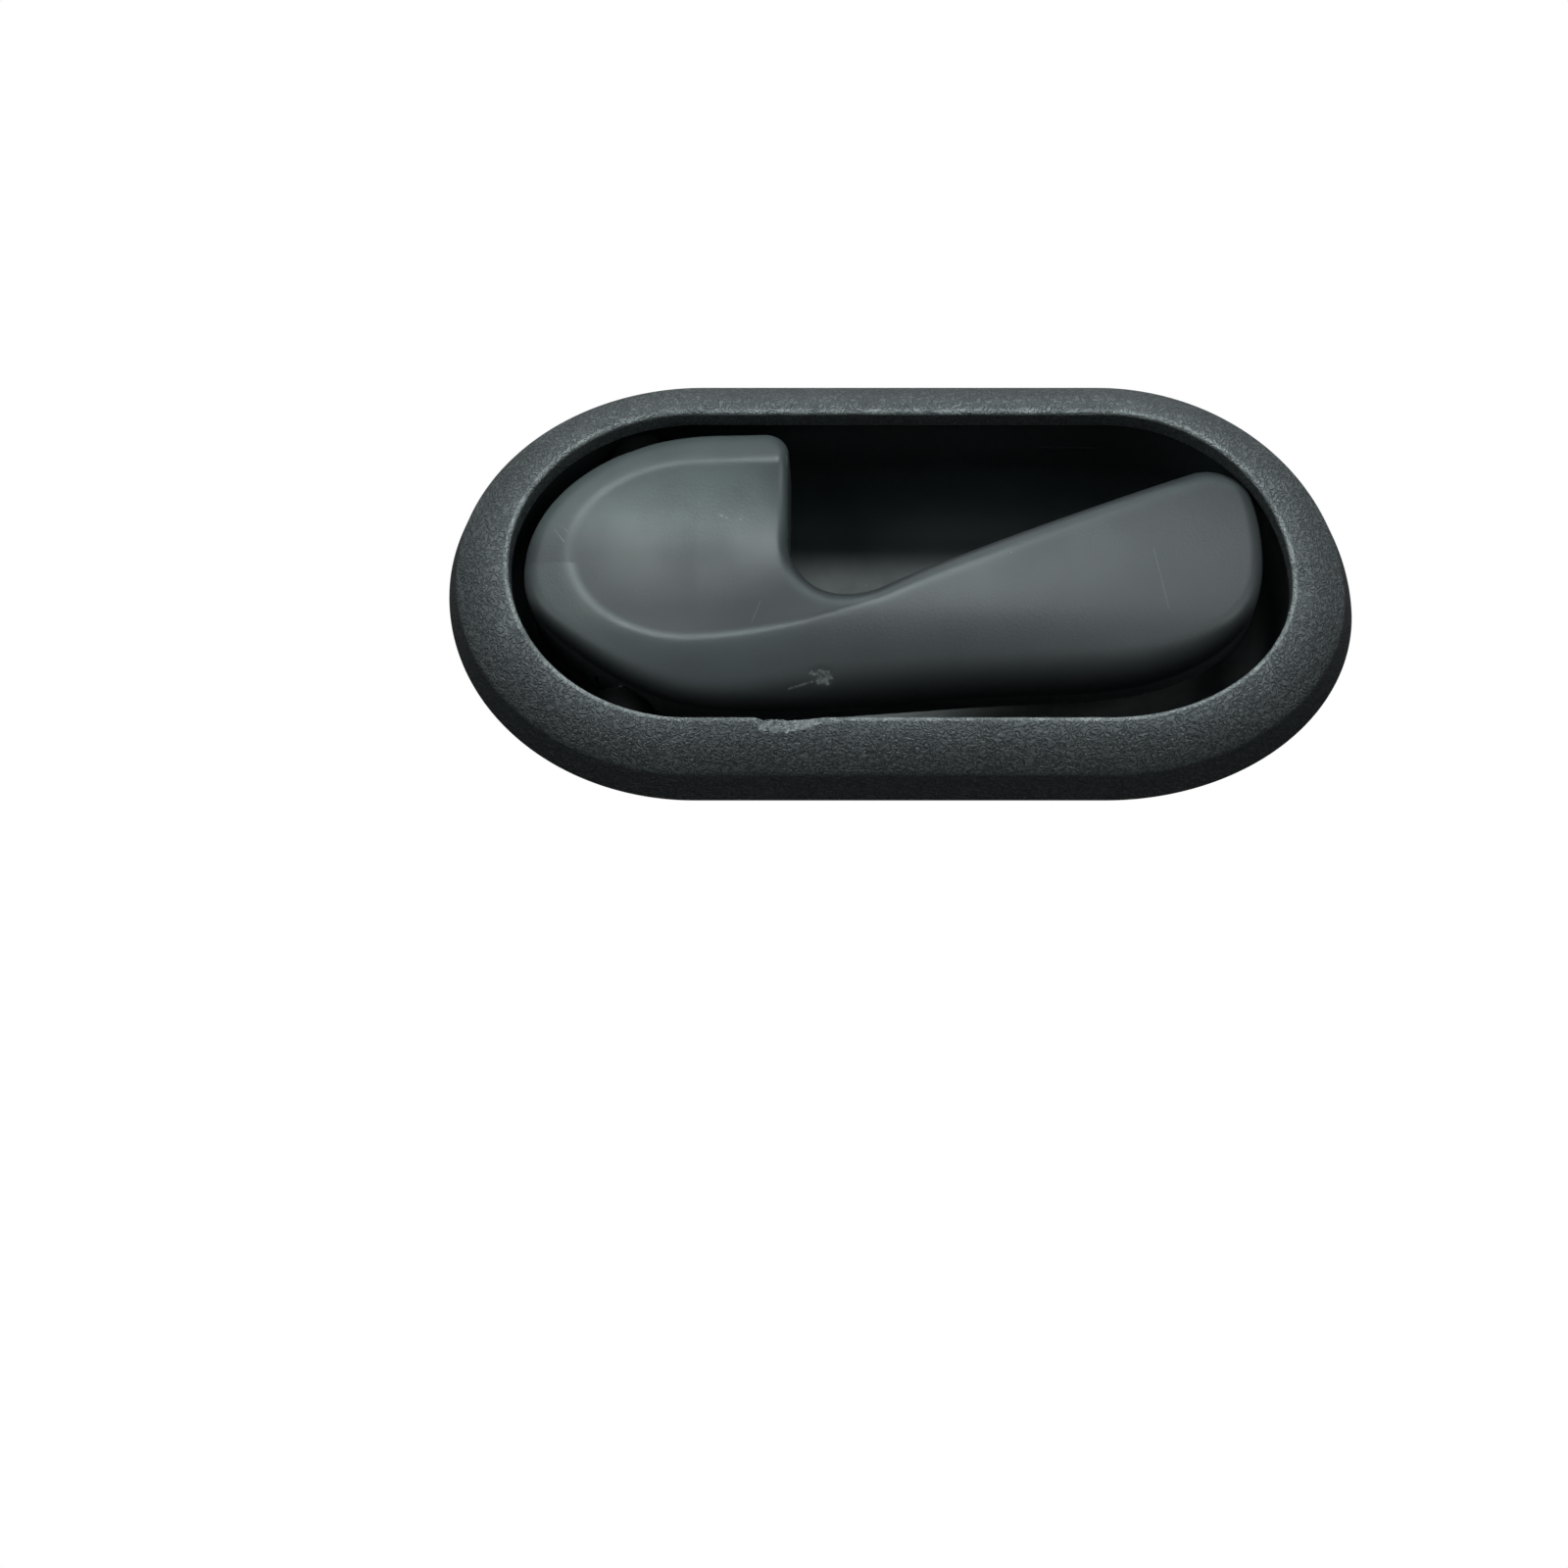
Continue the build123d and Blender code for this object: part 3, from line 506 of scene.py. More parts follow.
class LeverForm:
    """Shape of the lever's front: crowned face, thumb dish and rounded edge."""

    # Thumb dish
    RIDGE_LEAD = 3 * MM  # the lower ridge starts to rise this far before the round end
    RIDGE_CURL = 6.8  # and rises by this times the square of its run
    RIDGE_SOFTNESS = 0.075  # rounding of the ridge, as a share of the dish's depth
    FLOOR_SLOPE = 0.06  # the dish deepens by this towards the paddle
    FADE_START = -14 * MM  # it runs out from here
    FADE_RUN = 19 * MM  # over this length

    # Rounded edge; runs count from the lever's left end
    TANGENT_SPAN = 3  # outline points each way that give its direction
    LOBE_RUN = 40 * MM  # length of the lobe
    LEFT_RUN = 30 * MM  # the left end's rounding reaches this far
    LOW_START = 22 * MM  # from here the lower edge gets rounder
    LOW_RUN = 30 * MM  # over this length
    NOTCH_FACING = 0.5  # the notch's side looks at least this much to the right
    EVENING = 8  # outline points each way that even the rounding out
    BORDER_SNAP = 0.08 * MM  # points this near the outline lie on it
    WALL_REACH = 1 * MM  # points this near the outline belong to the walls
    WALL_GAP = 0.12 * MM  # walls and back stay this far behind the front

    # Rubbed places with painted sheen, and painted shade; edge places are shares of the rounding
    EDGE_RUB_SHEEN = (0.8, 0.3, 0.55)  # middle, width and strength of the rub and painted sheen along the edge
    RIDGE_RUB_SHEEN = (0.06, 0.05, 0.75)  # and along the dish's ridge, by the share of its depth
    RUB_SHEEN_END = 34 * MM  # the lobe's rub and painted sheen end this far from the lever's left end
    RUB_SHEEN_FADE = 12 * MM  # and fades over this length
    THUMB_LOW = 1 * MM  # the thumb's rub and painted sheen start above this height
    THUMB_FADE = 8 * MM  # and fully this much higher
    THUMB_BESIDE = 0.7  # strength beside the dish
    THUMB_DEEP = 3  # full strength where the dish's depth times this is its whole depth
    SHADE_REACH = 0.9  # painted shade reaches over this share of the lower rounding
    FACING = 3  # how fast the painted sheen sets in as the edge turns up, and the painted shade as it turns down

    def __init__(self, size):
        self.size = size
        self.crest = -LEVER_LOW.y
        self.outline = None
        self.inward = None
        self.up = None
        self.radius = None
        self.tree = None

    def face(self, x, z):
        """Depth of the crowned face with its dish."""
        size = self.size
        reach = z - size.crest_height
        crown = np.where(reach > 0, size.upper_crown, size.lower_crown)
        depth = self.crest - (crown - np.sqrt(crown**2 - reach**2)) - x**2 / (2 * size.bow)
        return float(depth - self.dish(x, z))

    def behind_crown(self, point):
        """How far a point lies behind the crowned face without its dish."""
        return self.face(point.x, point.z) + float(self.dish(point.x, point.z)) + point.y

    def dish(self, x, z):
        """How far the thumb dish sinks the face, with a soft ridge round it."""
        size = self.size
        right = np.maximum(x - size.dish_middle, 0.0)
        across = np.maximum(size.dish_middle - x, 0.0) / size.dish_reach
        ridge_run = np.maximum(x - size.dish_middle + self.RIDGE_LEAD, 0.0)
        low = size.dish_low + self.RIDGE_CURL * ridge_run**2
        half = (size.dish_top - low) / 2
        height = (z - (size.dish_top + low) / 2) / half
        inside = 1 - across**2 - height**2
        soft = (inside + np.sqrt(inside**2 + self.RIDGE_SOFTNESS**2)) / 2
        fade = 1 - smooth_step((x - self.FADE_START) / self.FADE_RUN)
        return (size.dish_sink + self.FLOOR_SLOPE * right) * soft * fade

    def set_outline(self, points):
        """Keep the outline and the rounding along it."""
        size = self.size
        span = self.TANGENT_SPAN
        self.outline = points
        ahead = np.roll(points, -span, axis=0) - np.roll(points, span, axis=0)
        ahead /= np.linalg.norm(ahead, axis=1)[:, None]
        normal = np.stack([ahead[:, 1], -ahead[:, 0]], axis=1)
        self.inward = -normal
        self.up = up = normal[:, 1]
        along = points[:, 0]
        lobe = along < LEVER_LOW.x + self.LOBE_RUN
        upper = np.where(lobe, size.edge_top, size.edge_paddle)
        side = np.where(along < LEVER_LOW.x + self.LEFT_RUN, size.edge_left, size.edge_tip)
        side = np.where(lobe & (normal[:, 0] > self.NOTCH_FACING), size.edge_notch, side)
        paddle = smooth_step((along - LEVER_LOW.x - self.LOW_START) / self.LOW_RUN)
        lower = size.edge_lobe + (size.edge_low - size.edge_lobe) * paddle
        radius = np.where(up > 0, upper, lower) * up**2 + side * (1 - up**2)
        shifts = range(-self.EVENING, self.EVENING + 1)
        self.radius = np.mean([np.roll(radius, k) for k in shifts], axis=0)
        self.tree = KDTree(len(points))
        for i, p in enumerate(points):
            self.tree.insert((p[0], p[1], 0), i)
        self.tree.balance()

    def edge(self, x, z):
        """Distance to the outline, the rounding there and how much it looks up."""
        _, index, distance = self.tree.find((x, z, 0))
        return distance, self.radius[index], self.up[index]

    def rub(self, x, z):
        """How much hands rub a place, shown as painted sheen: the dish's ridge and upper half and the
        paddle's edge.
        """
        distance, radius, up = self.edge(x, z)
        middle, width, edge_strength = self.EDGE_RUB_SHEEN
        edge = bell(distance, middle * radius, width * radius) * smooth_step(self.FACING * up - 1)
        lobe = 1 - smooth_step((x - LEVER_LOW.x - self.RUB_SHEEN_END) / self.RUB_SHEEN_FADE)
        sunk = self.dish(x, z) / self.size.dish_sink
        middle, width, ridge_strength = self.RIDGE_RUB_SHEEN
        ridge = lobe * bell(sunk, middle, width) * (z < 0)
        in_dish = smooth_step(self.THUMB_DEEP * sunk)
        upper = lobe * smooth_step((z - self.THUMB_LOW) / self.THUMB_FADE)
        upper = upper * (self.THUMB_BESIDE + (1 - self.THUMB_BESIDE) * in_dish)
        return float(max(edge_strength * edge, ridge_strength * ridge, upper))

    def grime(self, x, z):
        """How much painted shade a place gets: the rolled lower edge."""
        distance, radius, up = self.edge(x, z)
        rolled = 1 - smooth_step(distance / (self.SHADE_REACH * radius))
        return float(smooth_step(-self.FACING * up - 1) * rolled)

    def drop(self, distance, radius):
        """How far the rounded edge falls at a distance from the outline."""
        if distance >= radius:
            return 0.0
        return radius - sqrt(max(radius**2 - (radius - distance) ** 2, 0.0))

    def wall_limit(self, x, z):
        """How far forward a point of the walls or the back may reach: just behind the front."""
        distance, radius, _ = self.edge(x, z)
        drop = radius if distance < self.WALL_REACH else self.drop(distance, radius)
        return self.face(x, z) - drop - self.WALL_GAP

    def depth(self, x, z):
        """Depth of the finished front."""
        distance, radius, _ = self.edge(x, z)
        if distance < self.BORDER_SNAP:
            distance = 0.0
        return self.face(x, z) - self.drop(distance, radius)


def face_islands(bm):
    """Groups of faces that share vertices: one for each face of the solid model."""
    seen = set()
    islands = []
    for start in bm.faces:
        if start in seen:
            continue
        seen.add(start)
        island = []
        waiting = [start]
        while waiting:
            face = waiting.pop()
            island.append(face)
            for v in face.verts:
                for other in v.link_faces:
                    if other not in seen:
                        seen.add(other)
                        waiting.append(other)
        islands.append(island)
    return islands


def ordered_loop(edges):
    """Vertices of the longest closed chain of edges, in order."""
    links = {}
    for e in edges:
        a, b = e.verts
        links.setdefault(a, []).append(b)
        links.setdefault(b, []).append(a)
    best = []
    seen = set()
    for start in links:
        if start in seen:
            continue
        chain = [start]
        seen.add(start)
        step = start
        while True:
            ahead = [v for v in links[step] if v not in seen]
            if not ahead:
                break
            step = ahead[0]
            seen.add(step)
            chain.append(step)
        if len(chain) > len(best):
            best = chain
    return best


def outline_points(loop, spacing):
    """Evenly spaced points (x, z) along the loop, counter-clockwise."""
    corners = np.array([(v.co.x, v.co.z) for v in loop])
    ahead = np.roll(corners, -1, axis=0)
    if np.sum(corners[:, 0] * ahead[:, 1] - ahead[:, 0] * corners[:, 1]) < 0:
        corners = corners[::-1]
        ahead = np.roll(corners, -1, axis=0)
    points = []
    for here, there in zip(corners, ahead):
        steps = max(1, int(round(np.linalg.norm(there - here) / spacing)))
        points += [here + (there - here) * k / steps for k in range(steps)]
    return np.array(points)


# Distances of the rows of points along the rounded edge from the outline
EDGE_ROWS = [row * MM for row in (0.12, 0.3, 0.55, 0.85, 1.2, 1.6, 2.05, 2.55, 3.1, 3.7, 4.3, 4.9)]
ROW_CROWDED = 0.96  # a point nearer to the outline than this share of its row's distance is left out
ROW_SPACING = 0.7  # least spacing along a row, as a share of the grid's


def front_points(form, spacing):
    """Points inside the outline: rows along the rounded edge and an even grid within."""
    points = []
    for offset in EDGE_ROWS:
        last = None
        for p in form.outline + form.inward * offset:
            if form.edge(*p)[0] < ROW_CROWDED * offset:
                continue
            if last is not None and np.linalg.norm(p - last) < ROW_SPACING * spacing:
                continue
            points.append(p)
            last = p
    row_step = spacing * sqrt(3) / 2
    rows = int((LEVER_HIGH.z - LEVER_LOW.z) / row_step)
    columns = int((LEVER_HIGH.x - LEVER_LOW.x) / spacing)
    for i in range(rows):
        z = LEVER_LOW.z + i * row_step
        for j in range(columns):
            x = LEVER_LOW.x + (j + 0.5 * (i % 2)) * spacing
            if form.edge(x, z)[0] > EDGE_ROWS[-1] + 0.5 * spacing:
                points.append(np.array([x, z]))
    return points


# Chip in the lever's lower edge
CHIP_X, CHIP_Z = -11.4 * MM, -18.8 * MM
CHIP_REACH = (1.9 * MM, 1.25 * MM)  # along x and z
CHIP_SINK = 0.34 * MM  # depth
CHIP_LUMP = 0.16 * MM  # unevenness of its floor
CHIP_LUMP_SCALE = 1800  # lumps per metre
CHIP_RAGGED = 0.55  # unevenness of its border
CHIP_TURNS = 2.3  # how often the border goes in and out
CHIP_PALE = 1.6  # how fast the torn colour sets in behind the border


def chip_edge(point):
    """Small ragged chip in the lever's lower edge; returns its depth and wear."""
    across = point.x - CHIP_X
    along = point.z - CHIP_Z
    angle = atan2(along, across)
    rim = 1 + CHIP_RAGGED * noise.noise(Vector((cos(angle), sin(angle), 0.4)) * CHIP_TURNS)
    share = hypot(across / CHIP_REACH[0], along / CHIP_REACH[1]) / rim
    if share >= 1:
        return 0.0, 0.0
    lump = noise.fractal(point * CHIP_LUMP_SCALE, 0.9, 2.0, 3)
    sink = (CHIP_SINK + CHIP_LUMP * lump) * (1 - share**2)
    return sink, min(1.0, CHIP_PALE * (1 - share))


FRONT_FACING = 0.25  # a face of the solid is part of the front if it looks this much at the cabin
FRONT_REACH = 4 * MM  # and lies this near the crown
BORDER_STEP = 0.7 * MM  # longest edge of the front's border
OUTLINE_STEP = 0.4 * MM  # spacing of the outline's points
MERGE = 0.001 * MM  # points of the front this near to each other are one
LEVER_CREASE = radians(35)  # sharper edges of the lever shade as edges


def strip_front(bm, form):
    """Delete the solid lever's front and return the vertices of its border, in order."""
    front = bm.faces.layers.int.new("front")
    for island in face_islands(bm):
        areas = [f.calc_area() for f in island]
        facing = sum(f.normal.y * a for f, a in zip(island, areas)) / sum(areas)
        behind = [form.behind_crown(f.calc_center_median()) * a for f, a in zip(island, areas)]
        is_front = facing < -FRONT_FACING and sum(behind) / sum(areas) < FRONT_REACH
        for f in island:
            f[front] = int(is_front)
    bmesh.ops.remove_doubles(bm, verts=bm.verts, dist=WELD)
    bmesh.ops.delete(bm, geom=[f for f in bm.faces if f[front]], context="FACES")
    for e in [e for e in bm.edges if e.is_boundary]:
        cuts = int(e.calc_length() / BORDER_STEP)
        if cuts:
            bmesh.ops.bisect_edges(bm, edges=[e], cuts=cuts)
    return ordered_loop([e for e in bm.edges if e.is_boundary])


def seat_walls(bm, form, loop):
    """Bring the border to the new front's edge and keep the rest of the walls behind it."""
    border = set(loop)
    for v in bm.verts:
        if v in border:
            v.co.y = -form.depth(v.co.x, v.co.z)
        else:
            v.co.y = max(v.co.y, -form.wall_limit(v.co.x, v.co.z))
    bmesh.ops.triangulate(bm, faces=[f for f in bm.faces if len(f.verts) > 3])


def fill_front(bm, form, loop, spacing):
    """Mesh the front inside its border; returns the wear, the rub with its painted sheen, and the painted
    shade of its vertices.
    """
    flat = [Vector((v.co.x, v.co.z)) for v in loop]
    if sum(a.x * b.y - b.x * a.y for a, b in zip(flat, flat[1:] + flat[:1])) < 0:
        loop.reverse()
        flat.reverse()
    count = len(loop)
    spread = flat + [Vector(p) for p in front_points(form, spacing)]
    ring = [(i, (i + 1) % count) for i in range(count)]
    places, _, cells, origins, _, _ = delaunay_2d_cdt(spread, ring, [], 1, MERGE)
    marks = {v: (0.0, form.rub(v.co.x, v.co.z), form.grime(v.co.x, v.co.z)) for v in loop}
    made = {}
    for i, origin in enumerate(origins):
        on_border = [k for k in origin if k < count]
        if on_border:
            made[i] = loop[on_border[0]]
    used = {i for cell in cells for i in cell}
    for i in used:
        if i not in made:
            x, z = places[i]
            place = Vector((x, -form.depth(x, z), z))
            sink, wear = chip_edge(place)
            place.y += sink
            made[i] = bm.verts.new(place)
            marks[made[i]] = (wear, form.rub(x, z), form.grime(x, z))
    for cell in cells:
        corners = [made[i] for i in cell]
        if len(set(corners)) == 3:
            bm.faces.new(corners)
    return marks


def build_lever(size):
    """Mesh of the lever: a finely shaped front on the solid lever's walls, back and arm."""
    form = LeverForm(size)
    bm = bmesh.new()
    bm.from_mesh(frame["nodes"]["lever"].data)
    bm.normal_update()
    loop = strip_front(bm, form)
    form.set_outline(outline_points(loop, OUTLINE_STEP))
    seat_walls(bm, form, loop)
    marks = fill_front(bm, form, loop, size.mesh_size)
    bmesh.ops.recalc_face_normals(bm, faces=bm.faces)
    for f in bm.faces:
        f.smooth = True
    if not all(e.is_manifold for e in bm.edges):
        raise RuntimeError("the lever's new front does not close on its walls")
    bm.verts.index_update()
    values = np.zeros((len(bm.verts), 3))
    for v, mark in marks.items():
        values[v.index] = mark
    mesh = bpy.data.meshes.new("lever_shell")
    bm.to_mesh(mesh)
    bm.free()
    for name, column in zip(("wear", "rub", "grime"), values.T):
        store_values(mesh, name, column)
    mesh.set_sharp_from_angle(angle=LEVER_CREASE)
    return mesh


# Materials


class NodeTree:
    """Tree of nodes under construction."""

    def __init__(self, tree):
        self.tree = tree
        self.tree.nodes.clear()

    def add(self, kind, values=None, **settings):
        """Add a node, set its options, and set or link its inputs."""
        node = self.tree.nodes.new(kind)
        for key, value in settings.items():
            setattr(node, key, value)
        for key, value in (values or {}).items():
            if isinstance(value, bpy.types.NodeSocket):
                self.tree.links.new(value, node.inputs[key])
            else:
                node.inputs[key].default_value = value
        return node

    def math(self, operation, a, b=0.0):
        """Sum of two values, or another operation on them."""
        return self.add("ShaderNodeMath", {0: a, 1: b}, operation=operation).outputs[0]

    def ramp(self, value, low, high, to_low=0.0, to_high=1.0):
        """Value spread from one range to another with soft ends."""
        return self.add(
            "ShaderNodeMapRange",
            {"Value": value, "From Min": low, "From Max": high, "To Min": to_low, "To Max": to_high},
            interpolation_type="SMOOTHSTEP",
        ).outputs[0]


class Finish(NodeTree):
    """Node material under construction."""

    def __init__(self, name):
        self.material = bpy.data.materials.new(name)
        self.material.use_nodes = True
        super().__init__(self.material.node_tree)
        self.shader = self.add("ShaderNodeBsdfPrincipled")
        self.add("ShaderNodeOutputMaterial", {0: self.shader.outputs[0]})
        self.place = self.add("ShaderNodeTexCoord").outputs["Object"]

    def noise(self, scale, detail=2.0, rough=0.5, twist=0.0):
        """Cloudy pattern; scale is in cells per metre."""
        return self.add(
            "ShaderNodeTexNoise",
            {
                "Vector": self.place,
                "Scale": scale,
                "Detail": detail,
                "Roughness": rough,
                "Distortion": twist,
            },
        ).outputs["Fac"]

    def mix(self, factor, a, b):
        """Blend of two colours."""
        return self.add("ShaderNodeMix", {0: factor, 6: a, 7: b}, data_type="RGBA").outputs[2]

    def colour(self, rgb, scale=1.0):
        """Colour value with an alpha of 1."""
        return (rgb[0] * scale, rgb[1] * scale, rgb[2] * scale, 1.0)

    def specks(self, scale, share, radius):
        """Scattered dots; share is the part of the cells that hold one."""
        cells = self.add("ShaderNodeTexVoronoi", {"Vector": self.place, "Scale": scale}, feature="F1")
        pick = self.add("ShaderNodeSeparateColor", {"Color": cells.outputs["Color"]})
        chosen = self.math("LESS_THAN", pick.outputs[0], share)
        size = self.math("MULTIPLY", pick.outputs[1], radius)
        dot = self.math("LESS_THAN", cells.outputs["Distance"], size)
        return self.math("MULTIPLY", chosen, dot)

    def vector(self, operation, values, output="Vector"):
        """Vector or value from an operation on vectors."""
        return self.add("ShaderNodeVectorMath", values, operation=operation).outputs[output]

    def attribute(self, name):
        """Value kept on the mesh's points."""
        return self.add("ShaderNodeAttribute", attribute_name=name).outputs["Fac"]

    def scratch(self, start, end, width):
        """Thin mark between two points of the surface."""
        flat = (1.0, 0.15, 1.0)  # depth counts little, because the marks lie on a curved face
        core = 0.3  # share of the width that is at full strength
        a = Vector([s * f for s, f in zip(start, flat)])
        b = Vector([s * f for s, f in zip(end, flat)])
        length = (b - a).length
        along = (b - a) / length
        here = self.vector("MULTIPLY", {0: self.place, 1: flat})
        offset = self.vector("SUBTRACT", {0: here, 1: a})
        reach = self.vector("DOT_PRODUCT", {0: offset, 1: along}, "Value")
        reach = self.math("MINIMUM", self.math("MAXIMUM", reach, 0.0), length)
        foot = self.vector("SCALE", {0: along, "Scale": reach})
        away = self.vector("DISTANCE", {0: offset, 1: foot}, "Value")
        return self.ramp(away, width, core * width)

    def bump(self, height, distance, strength=1.0):
        """Small relief from a height pattern."""
        values = {"Height": height, "Distance": distance, "Strength": strength}
        return self.add("ShaderNodeBump", values).outputs[0]

    def finish(self, colour, roughness, normal=None):
        """Join the patterns to the shader."""
        for name, value in (("Base Color", colour), ("Roughness", roughness), ("Normal", normal)):
            if isinstance(value, bpy.types.NodeSocket):
                self.tree.links.new(value, self.shader.inputs[name])
            elif value is not None:
                self.shader.inputs[name].default_value = value
        return self.material


def bezel_finish(colours):
    """Black plastic with a coarse wormy moulded grain, a painted highlight and polish at the rim, painted
    shade on the skirt, and torn pale at the gouge.
    """
    grain_depth = 0.34 * MM
    f = Finish("grained_plastic")
    worms = f.math("ABSOLUTE", f.math("SUBTRACT", f.noise(1250, 1.5, 0.5, 0.6), 0.5))
    worms = f.ramp(worms, 0.0, 0.12)
    lumps = f.noise(700, 1.0)
    fine = f.noise(4200, 2.0, 0.6)
    grain = f.math("ADD", f.math("MULTIPLY", worms, 0.6), f.math("MULTIPLY", fine, 0.25))
    grain = f.math("ADD", grain, f.math("MULTIPLY", lumps, 0.6))
    wear = f.attribute("wear")
    # painted highlight along the rim, which also lowers the roughness there like polish
    polish = f.attribute("polish")
    polish = f.math("MULTIPLY", polish, f.ramp(f.noise(260, 3.0), 0.3, 0.65, 0.35, 1.0))
    torn = f.ramp(f.math("ADD", wear, f.math("MULTIPLY", f.noise(2400, 3.0), 0.5)), 0.35, 0.75)
    # painted shade on the skirt below the crease
    grime = f.attribute("grime")
    clouds = f.ramp(f.noise(55, 3.0), 0.3, 0.7)
    base = f.mix(clouds, f.colour(colours.bezel, 0.9), f.colour(colours.bezel, 1.1))
    # darken the skirt with painted shade
    base = f.mix(grime, base, f.colour(colours.bezel, 0.45))
    base = f.mix(f.ramp(worms, 0.0, 1.0, 0.6, 0.0), base, f.colour(colours.bezel, 0.35))
    # painted highlight on the rim, in a lightened torn-plastic colour
    base = f.mix(polish, base, f.colour(colours.torn, 1.25))
    base = f.mix(f.specks(330, 0.05, 0.045), base, f.colour(colours.dust))
    shade = f.ramp(f.noise(1300, 4.0), 0.25, 0.75)
    base = f.mix(torn, base, f.mix(shade, f.colour(colours.torn, 0.5), f.colour(colours.torn, 1.15)))
    rough = f.ramp(f.noise(90, 3.0), 0.3, 0.7, 0.40, 0.48)
    rough = f.math("SUBTRACT", rough, f.math("MULTIPLY", polish, 0.12))
    rough = f.math("ADD", rough, f.math("MULTIPLY", torn, 0.15))
    return f.finish(base, rough, f.bump(grain, grain_depth))


# Marks on the lever's front: ends x, z, x, z, width in millimetres, and strength
LEVER_MARKS = (
    (38.4, 1.8, 40.4, -8.2, 0.12, 0.16),
    (-13.0, -19.4, -16.6, -20.3, 0.20, 0.35),
    (-52.6, 5.6, -51.0, 3.4, 0.12, 0.30),
    (-51.8, 6.4, -50.6, 5.2, 0.10, 0.30),
    (-17.4, 16.6, -17.5, 18.6, 0.22, 0.30),
    (-27.6, 8.9, -27.2, 8.6, 0.24, 0.40),
    (-26.6, 8.4, -26.4, 8.3, 0.20, 0.40),
    (-24.6, 8.2, -24.3, 8.1, 0.16, 0.30),
    (-21.0, -6.3, -22.2, -10.5, 0.10, 0.18),
)


def front_marks(size):
    """Marks on the lever's front, each with its two ends on the face, its width and its strength."""
    form = LeverForm(size)
    marks = []
    for x0, z0, x1, z1, width, strength in LEVER_MARKS:
        places = [(x * MM, z * MM) for x, z in ((x0, z0), (x1, z1))]
        start, end = [(x, -form.face(x, z), z) for x, z in places]
        marks.append((start, end, width * MM, strength))
    return marks


def lever_finish(colours, marks):
    """Black satin plastic with a fine even grain, painted sheen where the thumb rubs, painted shade on
    the rolled lower edge, scratches and dust.
    """
    grain_depth = 0.032 * MM
    f = Finish("satin_plastic")
    fine = f.noise(2700, 2.0, 0.6)
    wear = f.attribute("wear")
    # painted sheen where hands rub; it also lowers the roughness a little
    rub = f.attribute("rub")
    rub = f.math("MULTIPLY", rub, f.ramp(f.noise(150, 4.0), 0.25, 0.65, 0.75, 1.0))
    # painted shade on the rolled lower edge
    grime = f.attribute("grime")
    torn = f.ramp(f.math("ADD", wear, f.math("MULTIPLY", f.noise(1500, 3.0), 1.1)), 0.85, 1.15)
    clouds = f.ramp(f.noise(38, 4.0), 0.3, 0.7)
    base = f.mix(clouds, f.colour(colours.lever, 0.93), f.colour(colours.lever, 1.07))
    # painted sheen where hands rub
    base = f.mix(rub, base, f.colour(colours.rubbed_sheen))
    # darken the rolled lower edge with painted shade
    base = f.mix(grime, base, f.colour(colours.lever, 0.25))
    base = f.mix(f.specks(300, 0.06, 0.035), base, f.colour(colours.dust, 0.7))
    base = f.mix(f.specks(620, 0.035, 0.06), base, f.colour(colours.dust, 0.5))
    scratched = None
    for start, end, width, strength in marks:
        mark = f.math("MULTIPLY", f.scratch(start, end, width), strength)
        scratched = mark if scratched is None else f.math("MAXIMUM", scratched, mark)
    scratched = f.math("MULTIPLY", scratched, f.ramp(f.noise(1600, 2.0), 0.3, 0.6, 0.25, 1.0))
    base = f.mix(scratched, base, f.colour(colours.torn))
    shade = f.ramp(f.noise(1500, 4.0), 0.25, 0.75)
    base = f.mix(torn, base, f.mix(shade, f.colour(colours.torn, 0.1), f.colour(colours.torn, 0.55)))
    rough = f.ramp(f.noise(70, 4.0), 0.3, 0.7, 0.40, 0.47)
    rough = f.math("ADD", rough, f.math("MULTIPLY", torn, 0.2))
    rough = f.math("SUBTRACT", rough, f.math("MULTIPLY", rub, 0.04))
    height = f.math("SUBTRACT", fine, f.math("MULTIPLY", scratched, 0.8))
    return f.finish(base, rough, f.bump(height, grain_depth, 0.7))


# Painted light on the finger cup's floor and lower scoop, and painted shade round the pivot
CUP_FLOOR_LIGHT = (15 * MM, 7.5 * MM, 0.42)  # heights where the floor's painted light starts and is full, strength
SCOOP_LIGHT = (-4 * MM, -13 * MM, 0.52)  # and those of the painted light in the lower scoop
CUP_LIGHT_DEPTH = (8 * MM, 15 * MM)  # both patches of painted light lie only this deep in the cup
PIVOT_SHADE_REACH = (7.5 * MM, 5 * MM)  # from the pin's axis to the painted shade's border and to its full strength
FLOW_DEPTH = 0.03 * MM  # flow marks of the moulding


